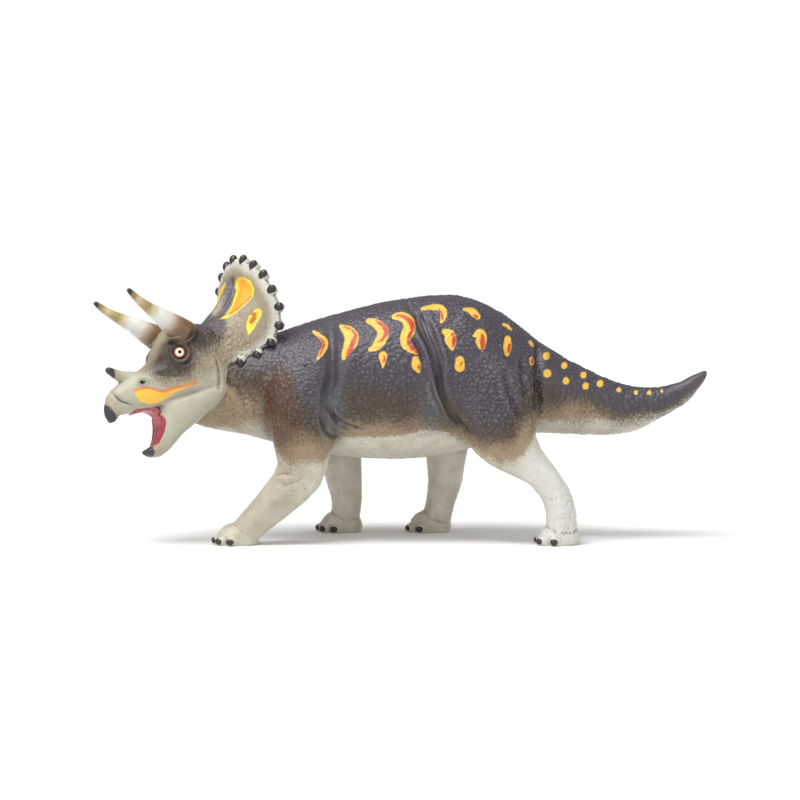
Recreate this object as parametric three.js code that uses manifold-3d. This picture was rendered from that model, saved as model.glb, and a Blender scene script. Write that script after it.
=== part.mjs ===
// A moulded vinyl Triceratops play figure that walks on all fours with its head turned and its mouth open.
// Millimetres. +Z is up, the head points along -X, and the figure's own left side faces -Y.
// It is glued up from separate mouldings: a trunk with sockets, and a head, lower jaw, mouth lining,
// two brow horns, a tail and four legs, which each seat in or on their neighbour, most with a keyed plug.
import * as THREE from "three";
import { mergeVertices } from "three/addons/utils/BufferGeometryUtils.js";
import Module from "manifold-3d";

const wasm = await Module();
wasm.setup();

// Trunk and tail
const TRUNK_LENGTH = 109; // from the front end of the neck to the tail joint, less the neck's bend
const TRUNK_WIDTH = 54;
const BACK_HEIGHT = 88; // from the floor to the highest point of the back
const TAIL_LENGTH = 61;

// Legs and feet
const STANCE_WIDTH = 40; // between the middles of a left and a right foot
const FORELEG_THICKNESS = 16;
const HINDLEG_THICKNESS = 17;
const FOOT_LENGTH = 16.5;
const FOOT_WIDTH = 14;
const FOOT_HEIGHT = 8;
const TOE_RADIUS = 2.8;
const NAIL_RADIUS = 1.5;

// Head, from the beak to the foot of the frill
const HEAD_LENGTH = 46;
const HEAD_DEPTH = 48; // from the crown to the chin of the open lower jaw
const HEAD_WIDTH = 26.5;
const HEAD_TURN = THREE.MathUtils.degToRad(28);
const HEAD_ROLL = THREE.MathUtils.degToRad(-15);
const FRILL_WIDTH = 41.5;
const FRILL_HEIGHT = 39; // from its lower lobes to its top
const FRILL_SWEEP = 16.5; // how far its rim lies behind the crown
const FRILL_THICKNESS = 3;
const STUD_RADIUS = 2;
const STUDS_PER_SIDE = 9;
const BROW_HORN_LENGTH = 24.5;
const BROW_HORN_RADIUS = 4.3;
const NOSE_HORN_LENGTH = 12;
const NOSE_HORN_RADIUS = 3.4;
const HORN_TIP_RADIUS = 1.1;
const EYE_RADIUS = 2;
const LINING_WIDTH = 5.6; // of the red strip between the cheeks
const LINING_THICKNESS = 2;

// Glued joints
const JOINT_GAP = 0.3; // glue line all round a seat
const LEG_PLUG_RADIUS = 4.5;
const LEG_PLUG_LENGTH = 7;
const NECK_PLUG_RADIUS = 4.5;
const NECK_PLUG_LENGTH = 7;
const TAIL_PLUG_RADIUS = 6;
const TAIL_PLUG_LENGTH = 9;
const HORN_PLUG_RADIUS = 2;
const HORN_PLUG_LENGTH = 4.5;
const JAW_PLUG_RADIUS = 2.4;
const JAW_PLUG_LENGTH = 4;
const PLUG_OVERRUN = 2.5; // how far a plug's root runs into its own piece
const KEY_FLAT_SHARE = 0.72; // a plug's flat lies this share of its radius from its axis

// Fineness: sides of each ring, and steps between two stations
const TRUNK_SIDES = 28;
const LIMB_SIDES = 16;
const HEAD_SIDES = 20;
const HORN_SIDES = 8;
const PLUG_SIDES = 8;
const EYE_FINENESS = [10, 8]; // a ball's sides round and down
const PAD_FINENESS = [16, 8];
const TOE_FINENESS = [8, 6];
const NAIL_FINENESS = [6, 4];
const STUD_FINENESS = [6, 5];
const TIP_FINENESS = [8, 8];
const BODY_STEPS = 2;
const SECTION_STEPS = 12; // steps of the smooth skin that the trunk's leaning rings lie on
const HEAD_STEPS = 1;

const vinyl = (color, roughness = 0.5) => new THREE.MeshStandardMaterial({ color, roughness, metalness: 0 });
const trunkVinyl = vinyl(0x3f3836);
const tailVinyl = vinyl(0x4a4347);
const legVinyl = vinyl(0xcfc9b8);
const headVinyl = vinyl(0x9a8c78);
const jawVinyl = vinyl(0xc9c8b9);
const hornVinyl = vinyl(0xd8d3c2, 0.35);
const mouthVinyl = vinyl(0xb94450, 0.4);

// A closed solid from a three.js geometry.
function solidOf(geometry) {
  const bare = geometry.clone();
  bare.deleteAttribute("normal");
  bare.deleteAttribute("uv");
  const merged = mergeVertices(bare);
  return new wasm.Manifold(
    new wasm.Mesh({
      numProp: 3,
      vertProperties: merged.attributes.position.array,
      triVerts: new Uint32Array(merged.index.array),
    }),
  );
}

// A named mesh from a closed solid.
function meshOf(name, solid, material) {
  const { numProp, numVert, vertProperties, triVerts } = solid.getMesh();
  const positions = new Float32Array(numVert * 3);
  for (let i = 0; i < numVert; i++) {
    positions.set(vertProperties.subarray(i * numProp, i * numProp + 3), i * 3);
  }
  const geometry = new THREE.BufferGeometry();
  geometry.setAttribute("position", new THREE.BufferAttribute(positions, 3));
  geometry.setIndex(new THREE.BufferAttribute(triVerts, 1));
  const mesh = new THREE.Mesh(geometry, material);
  mesh.name = name;
  return mesh;
}

// Rows of numbers with steps rows to each gap, on a smooth curve through every column.
function smoothRows(rows, steps) {
  const at = (i, column) => rows[THREE.MathUtils.clamp(i, 0, rows.length - 1)][column];
  const out = [];
  for (let i = 0; i < rows.length - 1; i++) {
    for (let s = 0; s < steps; s++) {
      const t = s / steps;
      out.push(
        rows[i].map((value, c) => {
          const [before, next, after] = [at(i - 1, c), at(i + 1, c), at(i + 2, c)];
          const slope = (next - before) / 2;
          const nextSlope = (after - value) / 2;
          const square = 3 * (next - value) - 2 * slope - nextSlope;
          const cube = 2 * (value - next) + slope + nextSlope;
          return value + t * (slope + t * (square + t * cube));
        }),
      );
    }
  }
  out.push(rows[rows.length - 1]);
  return out;
}

// A ring of points about centre: halfWidth to each side along across, rise above and drop below it along up.
// Squareness 1 gives an oval, and less gives a fuller section.
function ringOf(centre, across, up, halfWidth, rise, drop, sides, squareness = 1) {
  const ring = [];
  for (let i = 0; i < sides; i++) {
    const angle = (i / sides) * 2 * Math.PI;
    const c = Math.cos(angle);
    const s = Math.sin(angle);
    const out = Math.sign(c) * Math.abs(c) ** squareness * halfWidth;
    const lift = Math.sign(s) * Math.abs(s) ** squareness * (s > 0 ? rise : drop);
    ring.push(centre.clone().addScaledVector(across, out).addScaledVector(up, lift));
  }
  return ring;
}

// A closed skin through a row of rings, with a fan over each end.
function loftOf(rings) {
  const sides = rings[0].length;
  const middle = (ring) => ring.reduce((sum, p) => sum.add(p), new THREE.Vector3()).divideScalar(sides);
  const points = [...rings.flat(), middle(rings[0]), middle(rings[rings.length - 1])];
  const faces = [];
  for (let r = 0; r < rings.length - 1; r++) {
    for (let i = 0; i < sides; i++) {
      const a = r * sides + i;
      const b = r * sides + ((i + 1) % sides);
      faces.push(a, b, a + sides, b, b + sides, a + sides);
    }
  }
  const first = rings.length * sides;
  const last = (rings.length - 1) * sides;
  for (let i = 0; i < sides; i++) {
    const next = (i + 1) % sides;
    faces.push(first, next, i);
    faces.push(first + 1, last + i, last + next);
  }
  const geometry = new THREE.BufferGeometry().setFromPoints(points);
  geometry.setIndex(faces);
  const solid = solidOf(geometry);
  if (solid.volume() > 0) return solid;
  geometry.setIndex(faces.reverse());
  return solidOf(geometry);
}

const X = new THREE.Vector3(1, 0, 0);
const Y = new THREE.Vector3(0, 1, 0);
const Z = new THREE.Vector3(0, 0, 1);

// A round plug with one flat as a key. It stands length above its root along direction.
function plugOf(root, direction, radius, length, growth = 0) {
  const full = radius + growth;
  const flat = radius * KEY_FLAT_SHARE + growth;
  const halfAngle = Math.acos(flat / full);
  const outline = new THREE.Shape();
  outline.absarc(0, 0, full, halfAngle, 2 * Math.PI - halfAngle, false);
  outline.closePath();
  const body = new THREE.ExtrudeGeometry(outline, {
    depth: PLUG_OVERRUN + length + growth,
    bevelEnabled: false,
    curveSegments: PLUG_SIDES,
  });
  body.applyQuaternion(new THREE.Quaternion().setFromUnitVectors(Z, direction));
  const start = root.clone().addScaledVector(direction, -PLUG_OVERRUN);
  body.translate(start.x, start.y, start.z);
  return solidOf(body);
}

// A ball stretched to three half sizes about a centre.
function ballOf(centre, sizes, [around, down]) {
  const ball = new THREE.SphereGeometry(1, around, down);
  ball.scale(sizes.x, sizes.y, sizes.z);
  ball.translate(centre.x, centre.y, centre.z);
  return solidOf(ball);
}

// A flat outline through points of the XZ plane, swept width across the middle plane.
function slabOf(points, width) {
  const outline = new THREE.Shape(points.map((p) => new THREE.Vector2(p.x, p.z)));
  const slab = new THREE.ExtrudeGeometry(outline, { depth: width, bevelEnabled: false });
  slab.rotateX(Math.PI / 2);
  slab.translate(0, width / 2, 0);
  return solidOf(slab);
}

// Head: a nested frame, whose origin is the crown at the frill's foot, with forward along its own -X.
// It sits about the end of the neck, which reaches into the back of the skull.
const NECK_END_SHARES = [-0.7, -0.465, 0.62]; // of the trunk length, the head width and the back height
const CROWN_SHARES = [0.163, 0.39, 0.485]; // from there, of the head's length, width and depth
const neckEnd = new THREE.Vector3(
  NECK_END_SHARES[0] * TRUNK_LENGTH,
  NECK_END_SHARES[1] * HEAD_WIDTH,
  NECK_END_SHARES[2] * BACK_HEIGHT,
);
const head = new THREE.Group();
head.position
  .set(CROWN_SHARES[0] * HEAD_LENGTH, CROWN_SHARES[1] * HEAD_WIDTH, CROWN_SHARES[2] * HEAD_DEPTH)
  .add(neckEnd);
head.rotation.set(HEAD_ROLL, 0, HEAD_TURN, "ZYX");
head.updateMatrix();
const intoHead = head.matrix.clone().invert();

// A place on the head: forward from the crown, out to one side (1 left, -1 right, 0 neither) and up.
function headPoint([forward, out, up], side = 0) {
  return new THREE.Vector3(-forward * HEAD_LENGTH, (-side * out * HEAD_WIDTH) / 2, up * HEAD_DEPTH);
}

// Neck stations: x as a share of the trunk length, level of the back height, rise and drop of the head
// depth, half width of half the head width, and sideways shift of the head width.
const NECK_SHARES = [
  [-0.7, 0.62, 0.2, 0.22, 0.58, -0.465],
  [-0.65, 0.62, 0.265, 0.273, 0.74, -0.355],
  [-0.59, 0.625, 0.302, 0.32, 0.88, -0.225],
  [-0.51, 0.63, 0.33, 0.366667, 1.20226, -0.08151],
];
// Trunk stations: x as a share of the trunk length, then top, widest level and bottom of the back height,
// half width of half the trunk width, and sideways shift of the trunk width.
const TRUNK_SHARES = [
  [-0.44, 0.832, 0.63, 0.405, 0.7, -0.01],
  [-0.36, 0.862, 0.63, 0.375, 0.83, 0],
  [-0.25, 0.905, 0.63, 0.35, 0.93, 0],
  [-0.11, 0.953, 0.61, 0.332, 0.98, 0],
  [0.03, 0.984, 0.6, 0.33, 1, 0],
  [0.165, 1, 0.62, 0.355, 0.97, 0],
  [0.27, 0.965, 0.64, 0.387, 0.9, 0],
  [0.37, 0.89, 0.65, 0.415, 0.74, 0],
  [0.45, 0.812, 0.635, 0.434, 0.55, 0],
];
const TRUNK_FULLNESS_SHARE = 0.92;

// Deep skin folds down each side, one behind the shoulder and one in front of the thigh. Each row has the x of
// the fold near the back, half way and near the belly, as shares of the trunk length, on the left side and then
// on the right, whose legs stand elsewhere. The trunk's rings lean as the folds do between two upright ones.
const FRONT_UPRIGHT = [-0.34, -0.34, -0.34, -0.34, -0.34, -0.34];
const SHOULDER_FOLD = [-0.232, -0.226, -0.23, -0.17, -0.165, -0.168];
const FLANK_FOLD = [0.05, 0.125, 0.229, -0.021, 0.042, 0.148];
const REAR_UPRIGHT = [0.4, 0.4, 0.4, 0.4, 0.4, 0.4];
const FOLD_HEIGHT_SHARES = [0.93, 0.68, 0.455]; // the three heights of those x, of the back height
const FOLD_REACH_SHARE = 0.026; // from the bottom of a fold to its edges, of the trunk length
const FOLD_DEPTH_SHARE = 0.085; // of the distance from the trunk's middle line
const FOLD_STEPS = [2, 5, 5]; // rings in front of, between and behind the folds

// The x of every leaning ring, and whether it runs down the bottom of a fold.
function leaningRings() {
  const lines = [FRONT_UPRIGHT, SHOULDER_FOLD, FLANK_FOLD, REAR_UPRIGHT];
  const shifted = (line, by) => line.map((x) => x + by);
  const isFold = (line) => line === SHOULDER_FOLD || line === FLANK_FOLD;
  const out = [];
  for (let i = 0; i < lines.length - 1; i++) {
    const from = shifted(lines[i], isFold(lines[i]) ? FOLD_REACH_SHARE : 0);
    const to = shifted(lines[i + 1], isFold(lines[i + 1]) ? -FOLD_REACH_SHARE : 0);
    for (let s = 0; s < FOLD_STEPS[i]; s++) {
      out.push({ line: from.map((x, c) => x + (s / FOLD_STEPS[i]) * (to[c] - x)), deep: 0 });
    }
    out.push({ line: to, deep: 0 });
    if (isFold(lines[i + 1])) out.push({ line: lines[i + 1], deep: FOLD_DEPTH_SHARE });
  }
  return out;
}

function trunkSolid(growth) {
  const neck = NECK_SHARES.map(([x, level, rise, drop, halfWidth, shift]) => [
    x * TRUNK_LENGTH,
    shift * HEAD_WIDTH,
    level * BACK_HEIGHT,
    (halfWidth * HEAD_WIDTH) / 2,
    rise * HEAD_DEPTH,
    drop * HEAD_DEPTH,
  ]);
  const rest = TRUNK_SHARES.map(([x, top, level, bottom, halfWidth, shift]) => [
    x * TRUNK_LENGTH,
    shift * TRUNK_WIDTH,
    level * BACK_HEIGHT,
    (halfWidth * TRUNK_WIDTH) / 2,
    (top - level) * BACK_HEIGHT,
    (level - bottom) * BACK_HEIGHT,
  ]);
  const stations = smoothRows([...neck, ...rest], SECTION_STEPS);
  const sectionAt = (x) => {
    const i = THREE.MathUtils.clamp(stations.findIndex((row) => row[0] >= x), 1, stations.length - 1);
    const [a, b] = [stations[i - 1], stations[i]];
    return a.map((value, c) => THREE.MathUtils.mapLinear(x, a[0], b[0], value, b[c]));
  };
  const upright = (x) => {
    const [, y, z, halfWidth, rise, drop] = sectionAt(x);
    const centre = new THREE.Vector3(x === stations[0][0] ? x - growth : x, y, z);
    const sizes = [halfWidth + growth, rise + growth, drop + growth];
    return ringOf(centre, Y, Z, ...sizes, TRUNK_SIDES, TRUNK_FULLNESS_SHARE);
  };
  // A point of a leaning ring lies on the same smooth skin, but where the ring's line is at its height.
  const leaning = ({ line, deep }) => {
    const xAt = (height, right) => {
      const side = line.slice(right ? 3 : 0);
      const [top, middle, low] = FOLD_HEIGHT_SHARES.map((share) => share * BACK_HEIGHT);
      const [far, farX] = height > middle ? [top, side[0]] : [low, side[2]];
      return (side[1] + ((height - middle) / (far - middle)) * (farX - side[1])) * TRUNK_LENGTH;
    };
    return Array.from({ length: TRUNK_SIDES }, (_, i) => {
      const angle = (i / TRUNK_SIDES) * 2 * Math.PI;
      let x = (line[1] + line[4]) * 0.5 * TRUNK_LENGTH;
      let point;
      for (let round = 0; round < 4; round++) {
        point = upright(x)[i];
        const share = THREE.MathUtils.smoothstep(Math.cos(angle), -0.5, 0.5);
        x = THREE.MathUtils.lerp(xAt(point.z, false), xAt(point.z, true), share);
      }
      const [, y, z] = sectionAt(x);
      const side = THREE.MathUtils.smoothstep(Math.abs(Math.cos(angle)), 0.3, 0.62);
      const low = THREE.MathUtils.smoothstep(-Math.sin(angle), 0.35, 0.8);
      const depth = deep * side * (1 - low);
      point = upright(x)[i];
      return new THREE.Vector3(x, y + (point.y - y) * (1 - depth), z + (point.z - z) * (1 - depth));
    });
  };
  const first = FRONT_UPRIGHT[0] * TRUNK_LENGTH;
  const last = REAR_UPRIGHT[0] * TRUNK_LENGTH;
  const inFront = smoothRows([...neck, ...rest], BODY_STEPS).map((row) => row[0]).filter((x) => x < first - 1);
  const behind = rest.map((row) => row[0]).filter((x) => x > last + 1);
  return loftOf([...inFront.map(upright), ...leaningRings().map(leaning), ...behind.map(upright)]);
}

// Tail stations: x as a share of the tail length, with the same height and width shares as the trunk.
const TAIL_SHARES = [
  [0, 0.812, 0.635, 0.434, 0.55],
  [0.15, 0.746, 0.59, 0.43, 0.46],
  [0.31, 0.69, 0.555, 0.426, 0.385],
  [0.46, 0.645, 0.53, 0.427, 0.32],
  [0.6, 0.621, 0.53, 0.45, 0.26],
  [0.73, 0.627, 0.56, 0.5, 0.2],
  [0.85, 0.648, 0.598, 0.548, 0.14],
  [0.94, 0.676, 0.643, 0.612, 0.1],
  [1, 0.696, 0.684, 0.668, 0.05],
];
const tailJointX = TRUNK_SHARES[TRUNK_SHARES.length - 1][0] * TRUNK_LENGTH;

function tailPlug(growth) {
  const root = new THREE.Vector3(tailJointX, 0, TAIL_SHARES[0][2] * BACK_HEIGHT);
  return plugOf(root, X.clone().negate(), TAIL_PLUG_RADIUS, TAIL_PLUG_LENGTH, growth);
}

function tailSolid() {
  const rings = smoothRows(TAIL_SHARES, BODY_STEPS).map(([x, top, level, bottom, halfWidth]) =>
    ringOf(
      new THREE.Vector3(tailJointX + JOINT_GAP + x * TAIL_LENGTH, 0, level * BACK_HEIGHT),
      Y,
      Z,
      (halfWidth * TRUNK_WIDTH) / 2,
      (top - level) * BACK_HEIGHT,
      (level - bottom) * BACK_HEIGHT,
      LIMB_SIDES,
    ),
  );
  return loftOf(rings).add(tailPlug(0));
}

// Leg stations from the hip or shoulder down to the ankle: x as a share of the trunk length, z of the back
// height, y of half the stance, then the fore-and-aft and the sideways radius of the leg's thickness.
const LEG_SHARES = {
  front_leg_left: [
    [-0.303, 0.8, 0.55, 0.44, 0.32],
    [-0.307, 0.7, 0.78, 0.8, 0.52],
    [-0.316, 0.6, 0.88, 0.925, 0.575],
    [-0.321, 0.5, 0.95, 0.82, 0.565],
    [-0.324, 0.385, 1.01, 0.625, 0.5],
    [-0.335, 0.285, 1.02, 0.53, 0.45],
    [-0.405, 0.185, 1.02, 0.425, 0.39],
    [-0.472, 0.105, 1.02, 0.35, 0.35],
    [-0.515, 0.05, 1.02, 0.32, 0.34],
  ],
  front_leg_right: [
    [-0.25, 0.8, 0.55, 0.44, 0.32],
    [-0.25, 0.7, 0.78, 0.78, 0.52],
    [-0.24, 0.6, 0.9, 0.86, 0.575],
    [-0.225, 0.49, 0.98, 0.7, 0.55],
    [-0.205, 0.36, 1.02, 0.5, 0.47],
    [-0.19, 0.22, 1.02, 0.405, 0.4],
    [-0.18, 0.13, 1.02, 0.34, 0.35],
    [-0.186, 0.055, 1.02, 0.31, 0.34],
  ],
  hind_leg_left: [
    [0.262, 0.85, 0.58, 0.42, 0.32],
    [0.268, 0.75, 0.74, 0.86, 0.53],
    [0.285, 0.63, 0.84, 1.04, 0.6],
    [0.322, 0.485, 0.93, 0.79, 0.57],
    [0.366, 0.4, 0.99, 0.6, 0.48],
    [0.418, 0.335, 1.02, 0.4, 0.43],
    [0.466, 0.28, 1.02, 0.315, 0.385],
    [0.51, 0.2, 1.02, 0.305, 0.35],
    [0.527, 0.125, 1.02, 0.315, 0.34],
    [0.528, 0.06, 1.02, 0.315, 0.34],
  ],
  hind_leg_right: [
    [0.24, 0.85, 0.58, 0.42, 0.32],
    [0.225, 0.75, 0.74, 0.86, 0.53],
    [0.2, 0.63, 0.84, 0.9, 0.6],
    [0.168, 0.49, 0.95, 0.68, 0.56],
    [0.15, 0.35, 1.02, 0.46, 0.47],
    [0.147, 0.22, 1.02, 0.365, 0.39],
    [0.13, 0.12, 1.02, 0.3, 0.345],
    [0.117, 0.055, 1.02, 0.3, 0.34],
  ],
};
// The middle of each foot, as a share of the trunk length
const FOOT_SHARES = {
  front_leg_left: -0.536,
  front_leg_right: -0.197,
  hind_leg_left: 0.522,
  hind_leg_right: 0.098,
};
const sideOf = (name) => (name.endsWith("left") ? -1 : 1);
const isFront = (name) => name.startsWith("front");

function limbSolid(name, growth) {
  const side = sideOf(name);
  const thickness = isFront(name) ? FORELEG_THICKNESS : HINDLEG_THICKNESS;
  const rows = smoothRows(LEG_SHARES[name], BODY_STEPS);
  const centres = rows.map(
    ([x, z, y]) => new THREE.Vector3(x * TRUNK_LENGTH, (side * y * STANCE_WIDTH) / 2, z * BACK_HEIGHT),
  );
  const rings = rows.map((row, i) => {
    const next = centres[Math.min(i + 1, rows.length - 1)].clone();
    const along = next.sub(centres[Math.max(i - 1, 0)]).setY(0).normalize();
    const forward = new THREE.Vector3().crossVectors(Y, along);
    const fore = row[3] * thickness + growth;
    return ringOf(centres[i], Y, forward, row[4] * thickness + growth, fore, fore, LIMB_SIDES);
  });
  return loftOf(rings);
}

// Foot: a low pad with toes fanned round its front, each with a nail. Angles run from straight ahead to the
// outside of the foot: five toes in front and four behind.
const FRONT_TOE_DEGREES = [-70, -35, 0, 35, 70];
const HIND_TOE_DEGREES = [-60, -15, 30, 75];
const PAD_HEIGHT_SHARE = 0.3; // the pad's middle, of the foot height
const PAD_INSET_SHARE = 0.3; // how far the pad stays behind the toes, of the toe radius
const TOE_HEIGHT_SHARE = 0.55; // a toe's middle, of its radius
const NAIL_SINK_SHARE = 0.35; // how deep a nail's middle lies in its toe, of the nail radius

function footSolid(name) {
  const side = sideOf(name);
  const ankle = LEG_SHARES[name][LEG_SHARES[name].length - 1];
  const middle = new THREE.Vector3(
    FOOT_SHARES[name] * TRUNK_LENGTH,
    (side * ankle[2] * STANCE_WIDTH) / 2,
    PAD_HEIGHT_SHARE * FOOT_HEIGHT,
  );
  const inset = PAD_INSET_SHARE * TOE_RADIUS;
  const pad = new THREE.Vector3(
    FOOT_LENGTH / 2 - inset,
    FOOT_WIDTH / 2 - inset,
    (1 - PAD_HEIGHT_SHARE) * FOOT_HEIGHT,
  );
  let foot = ballOf(middle, pad, PAD_FINENESS);
  const toeSizes = new THREE.Vector3(TOE_RADIUS, TOE_RADIUS, TOE_RADIUS);
  const nailSizes = new THREE.Vector3(NAIL_RADIUS, NAIL_RADIUS, NAIL_RADIUS);
  for (const degrees of isFront(name) ? FRONT_TOE_DEGREES : HIND_TOE_DEGREES) {
    const angle = THREE.MathUtils.degToRad(degrees);
    const outward = new THREE.Vector3(-Math.cos(angle), side * Math.sin(angle), 0);
    const toe = new THREE.Vector3(
      middle.x + outward.x * (FOOT_LENGTH / 2 - TOE_RADIUS),
      middle.y + outward.y * (FOOT_WIDTH / 2 - TOE_RADIUS),
      TOE_HEIGHT_SHARE * TOE_RADIUS,
    );
    const nail = toe.clone().addScaledVector(outward, TOE_RADIUS - NAIL_SINK_SHARE * NAIL_RADIUS);
    foot = foot.add(ballOf(toe, toeSizes, TOE_FINENESS)).add(ballOf(nail, nailSizes, NAIL_FINENESS));
  }
  return foot;
}

// The seat of each leg is a plane that leans outward as it rises, so that the plug points in and up a little.
const SEAT_HEIGHT_SHARE = 0.56; // of the back height
const SEAT_OUT_SHARE = 0.6; // of half the trunk width
const SEAT_LEAN = THREE.MathUtils.degToRad(18);
const SEAT_STATION = 2; // the leg station above which the plug stands

function seatOf(name) {
  const side = sideOf(name);
  return {
    point: new THREE.Vector3(
      LEG_SHARES[name][SEAT_STATION][0] * TRUNK_LENGTH,
      (side * SEAT_OUT_SHARE * TRUNK_WIDTH) / 2,
      SEAT_HEIGHT_SHARE * BACK_HEIGHT,
    ),
    outward: new THREE.Vector3(0, side * Math.cos(SEAT_LEAN), -Math.sin(SEAT_LEAN)),
  };
}

// The upper part of a leg with its plug, grown all round: the leg itself at 0, and its socket at the joint gap.
function seatedLimb(name, growth) {
  const { point, outward } = seatOf(name);
  const plug = plugOf(point, outward.clone().negate(), LEG_PLUG_RADIUS, LEG_PLUG_LENGTH, growth);
  return limbSolid(name, growth)
    .trimByPlane([outward.x, outward.y, outward.z], point.dot(outward) - growth)
    .add(plug);
}

const legSolid = (name) => seatedLimb(name, 0).add(footSolid(name)).trimByPlane([0, 0, 1], 0);

// Skull and jaw stations: forward share of the head length, top, widest level and bottom of the head depth,
// and half width of half the head width.
const SKULL_SHARES = [
  [-0.09, -0.11, -0.38, -0.62, 0.6],
  [0, -0.03, -0.36, -0.65, 0.87],
  [0.13, 0.0, -0.37, -0.63, 0.99],
  [0.27, 0.005, -0.33, -0.62, 0.93],
  [0.38, -0.025, -0.29, -0.62, 0.82],
  [0.47, -0.115, -0.36, -0.62, 0.69],
  [0.56, -0.26, -0.44, -0.625, 0.58],
  [0.65, -0.32, -0.5, -0.635, 0.5],
  [0.74, -0.355, -0.53, -0.645, 0.43],
  [0.83, -0.405, -0.56, -0.648, 0.36],
  [0.89, -0.445, -0.565, -0.657, 0.3],
  [0.935, -0.475, -0.59, -0.7, 0.25],
  [0.97, -0.52, -0.615, -0.71, 0.18],
  [1, -0.585, -0.625, -0.665, 0.06],
];
const JAW_SHARES = [
  [0, -0.4, -0.5, -0.58, 0.82],
  [0.11, -0.43, -0.55, -0.67, 0.92],
  [0.26, -0.45, -0.6, -0.755, 0.87],
  [0.39, -0.48, -0.65, -0.84, 0.72],
  [0.5, -0.52, -0.72, -0.943, 0.52],
  [0.575, -0.66, -0.82, -0.983, 0.35],
  [0.63, -0.9, -0.945, -0.985, 0.27],
  [0.68, -0.925, -0.948, -0.972, 0.18],
  [0.712, -0.937, -0.947, -0.957, 0.07],
];
const HEAD_FULLNESS_SHARE = 0.9;

function headLoft(shares) {
  const rings = smoothRows(shares, HEAD_STEPS).map(([forward, top, level, bottom, halfWidth]) =>
    ringOf(
      headPoint([forward, 0, level]),
      Y,
      Z,
      (halfWidth * HEAD_WIDTH) / 2,
      (top - level) * HEAD_DEPTH,
      (level - bottom) * HEAD_DEPTH,
      HEAD_SIDES,
      HEAD_FULLNESS_SHARE,
    ),
  );
  return loftOf(rings);
}

// The lip line, seen from the side: the upper head ends on it, and the cheeks and lower jaw begin under it.
// It runs from behind the skull to the bare beak, and everything below the chin counts as under it too.
const LIP_SHARES = [
  [-1, 0, -0.28],
  [0.83, 0, -0.66],
];
const UNDER_CHIN_SHARE = -2;

// Everything under the lip line, which is raised by growth.
function belowLips(growth) {
  const line = LIP_SHARES.map((row) => headPoint(row).add(new THREE.Vector3(0, 0, growth)));
  line[1].x -= growth;
  const floor = line.map((point) => point.clone().setZ(UNDER_CHIN_SHARE * HEAD_DEPTH));
  return slabOf([...line, ...floor.reverse()], 2 * HEAD_WIDTH);
}

// The open mouth, seen from the side: from under the snout, round the corner and onto the lower beak.
const MOUTH_SHARES = [
  [0.77, 0, -0.656],
  [0.71, 0, -0.645],
  [0.64, 0, -0.64],
  [0.58, 0, -0.675],
  [0.553, 0, -0.735],
  [0.565, 0, -0.8],
  [0.59, 0, -0.86],
  [0.61, 0, -0.9],
];
const MOUTH_SAMPLES = 14;
const mouthCurve = new THREE.CatmullRomCurve3(MOUTH_SHARES.map((row) => headPoint(row)));
const mouthPoints = mouthCurve.getPoints(MOUTH_SAMPLES);

// What the open mouth takes from the lower jaw: the curve, closed round in front of the lower beak.
const MOUTH_REACH_SHARES = [
  [0.67, 0, -0.916],
  [0.72, 0, -0.935],
  [1, 0, -0.94],
  [1, 0, -0.5],
];
const mouthReach = MOUTH_REACH_SHARES.map((row) => headPoint(row));
const mouthVoid = () => slabOf([...mouthPoints, ...mouthReach], 2 * HEAD_WIDTH);

// The mouth lining: a strip behind the mouth curve, LINING_THICKNESS deep, grown all round for its channel.
function liningSolid(growth) {
  const behind = mouthPoints.map((point, i) => {
    const next = mouthPoints[Math.min(i + 1, mouthPoints.length - 1)].clone();
    const along = next.sub(mouthPoints[Math.max(i - 1, 0)]).normalize();
    return new THREE.Vector3().crossVectors(along, Y);
  });
  const shifted = (depth) => mouthPoints.map((point, i) => point.clone().addScaledVector(behind[i], depth));
  return slabOf(
    [...shifted(-growth), ...shifted(LINING_THICKNESS + growth).reverse()],
    LINING_WIDTH + 2 * growth,
  );
}

// Frill: half outlines of its rim and its foot, from the middle of the top down to the lower lobe.
// Columns: back of the sweep, out of half the width, up of the height.
const RIM_SHARES = [
  [0.81, 0, 0.55],
  [0.83, 0.242, 0.533],
  [0.868, 0.492, 0.475],
  [0.907, 0.76, 0.385],
  [0.974, 0.93, 0.228],
  [1.07, 0.985, 0.083],
  [1.097, 0.958, -0.077],
  [0.966, 0.85, -0.237],
  [0.647, 0.7, -0.351],
  [0.28, 0.59, -0.404],
];
const FRILL_FOOT_SHARES = [
  [-0.2, 0, -0.075],
  [-0.2, 0.127, -0.08],
  [-0.2, 0.22, -0.095],
  [-0.2, 0.3, -0.13],
  [-0.2, 0.37, -0.17],
  [-0.2, 0.416, -0.22],
  [-0.2, 0.45, -0.28],
  [-0.2, 0.474, -0.33],
  [-0.2, 0.486, -0.37],
  [-0.2, 0.486, -0.42],
];
const FRILL_BANDS = 3; // between its foot and its rim
const FRILL_DISH_SHARE = 0.095; // how far its middle bows back, of its width

function frillPoint([back, out, up], side) {
  return new THREE.Vector3(back * FRILL_SWEEP, (-side * out * FRILL_WIDTH) / 2, up * FRILL_HEIGHT);
}

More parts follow.
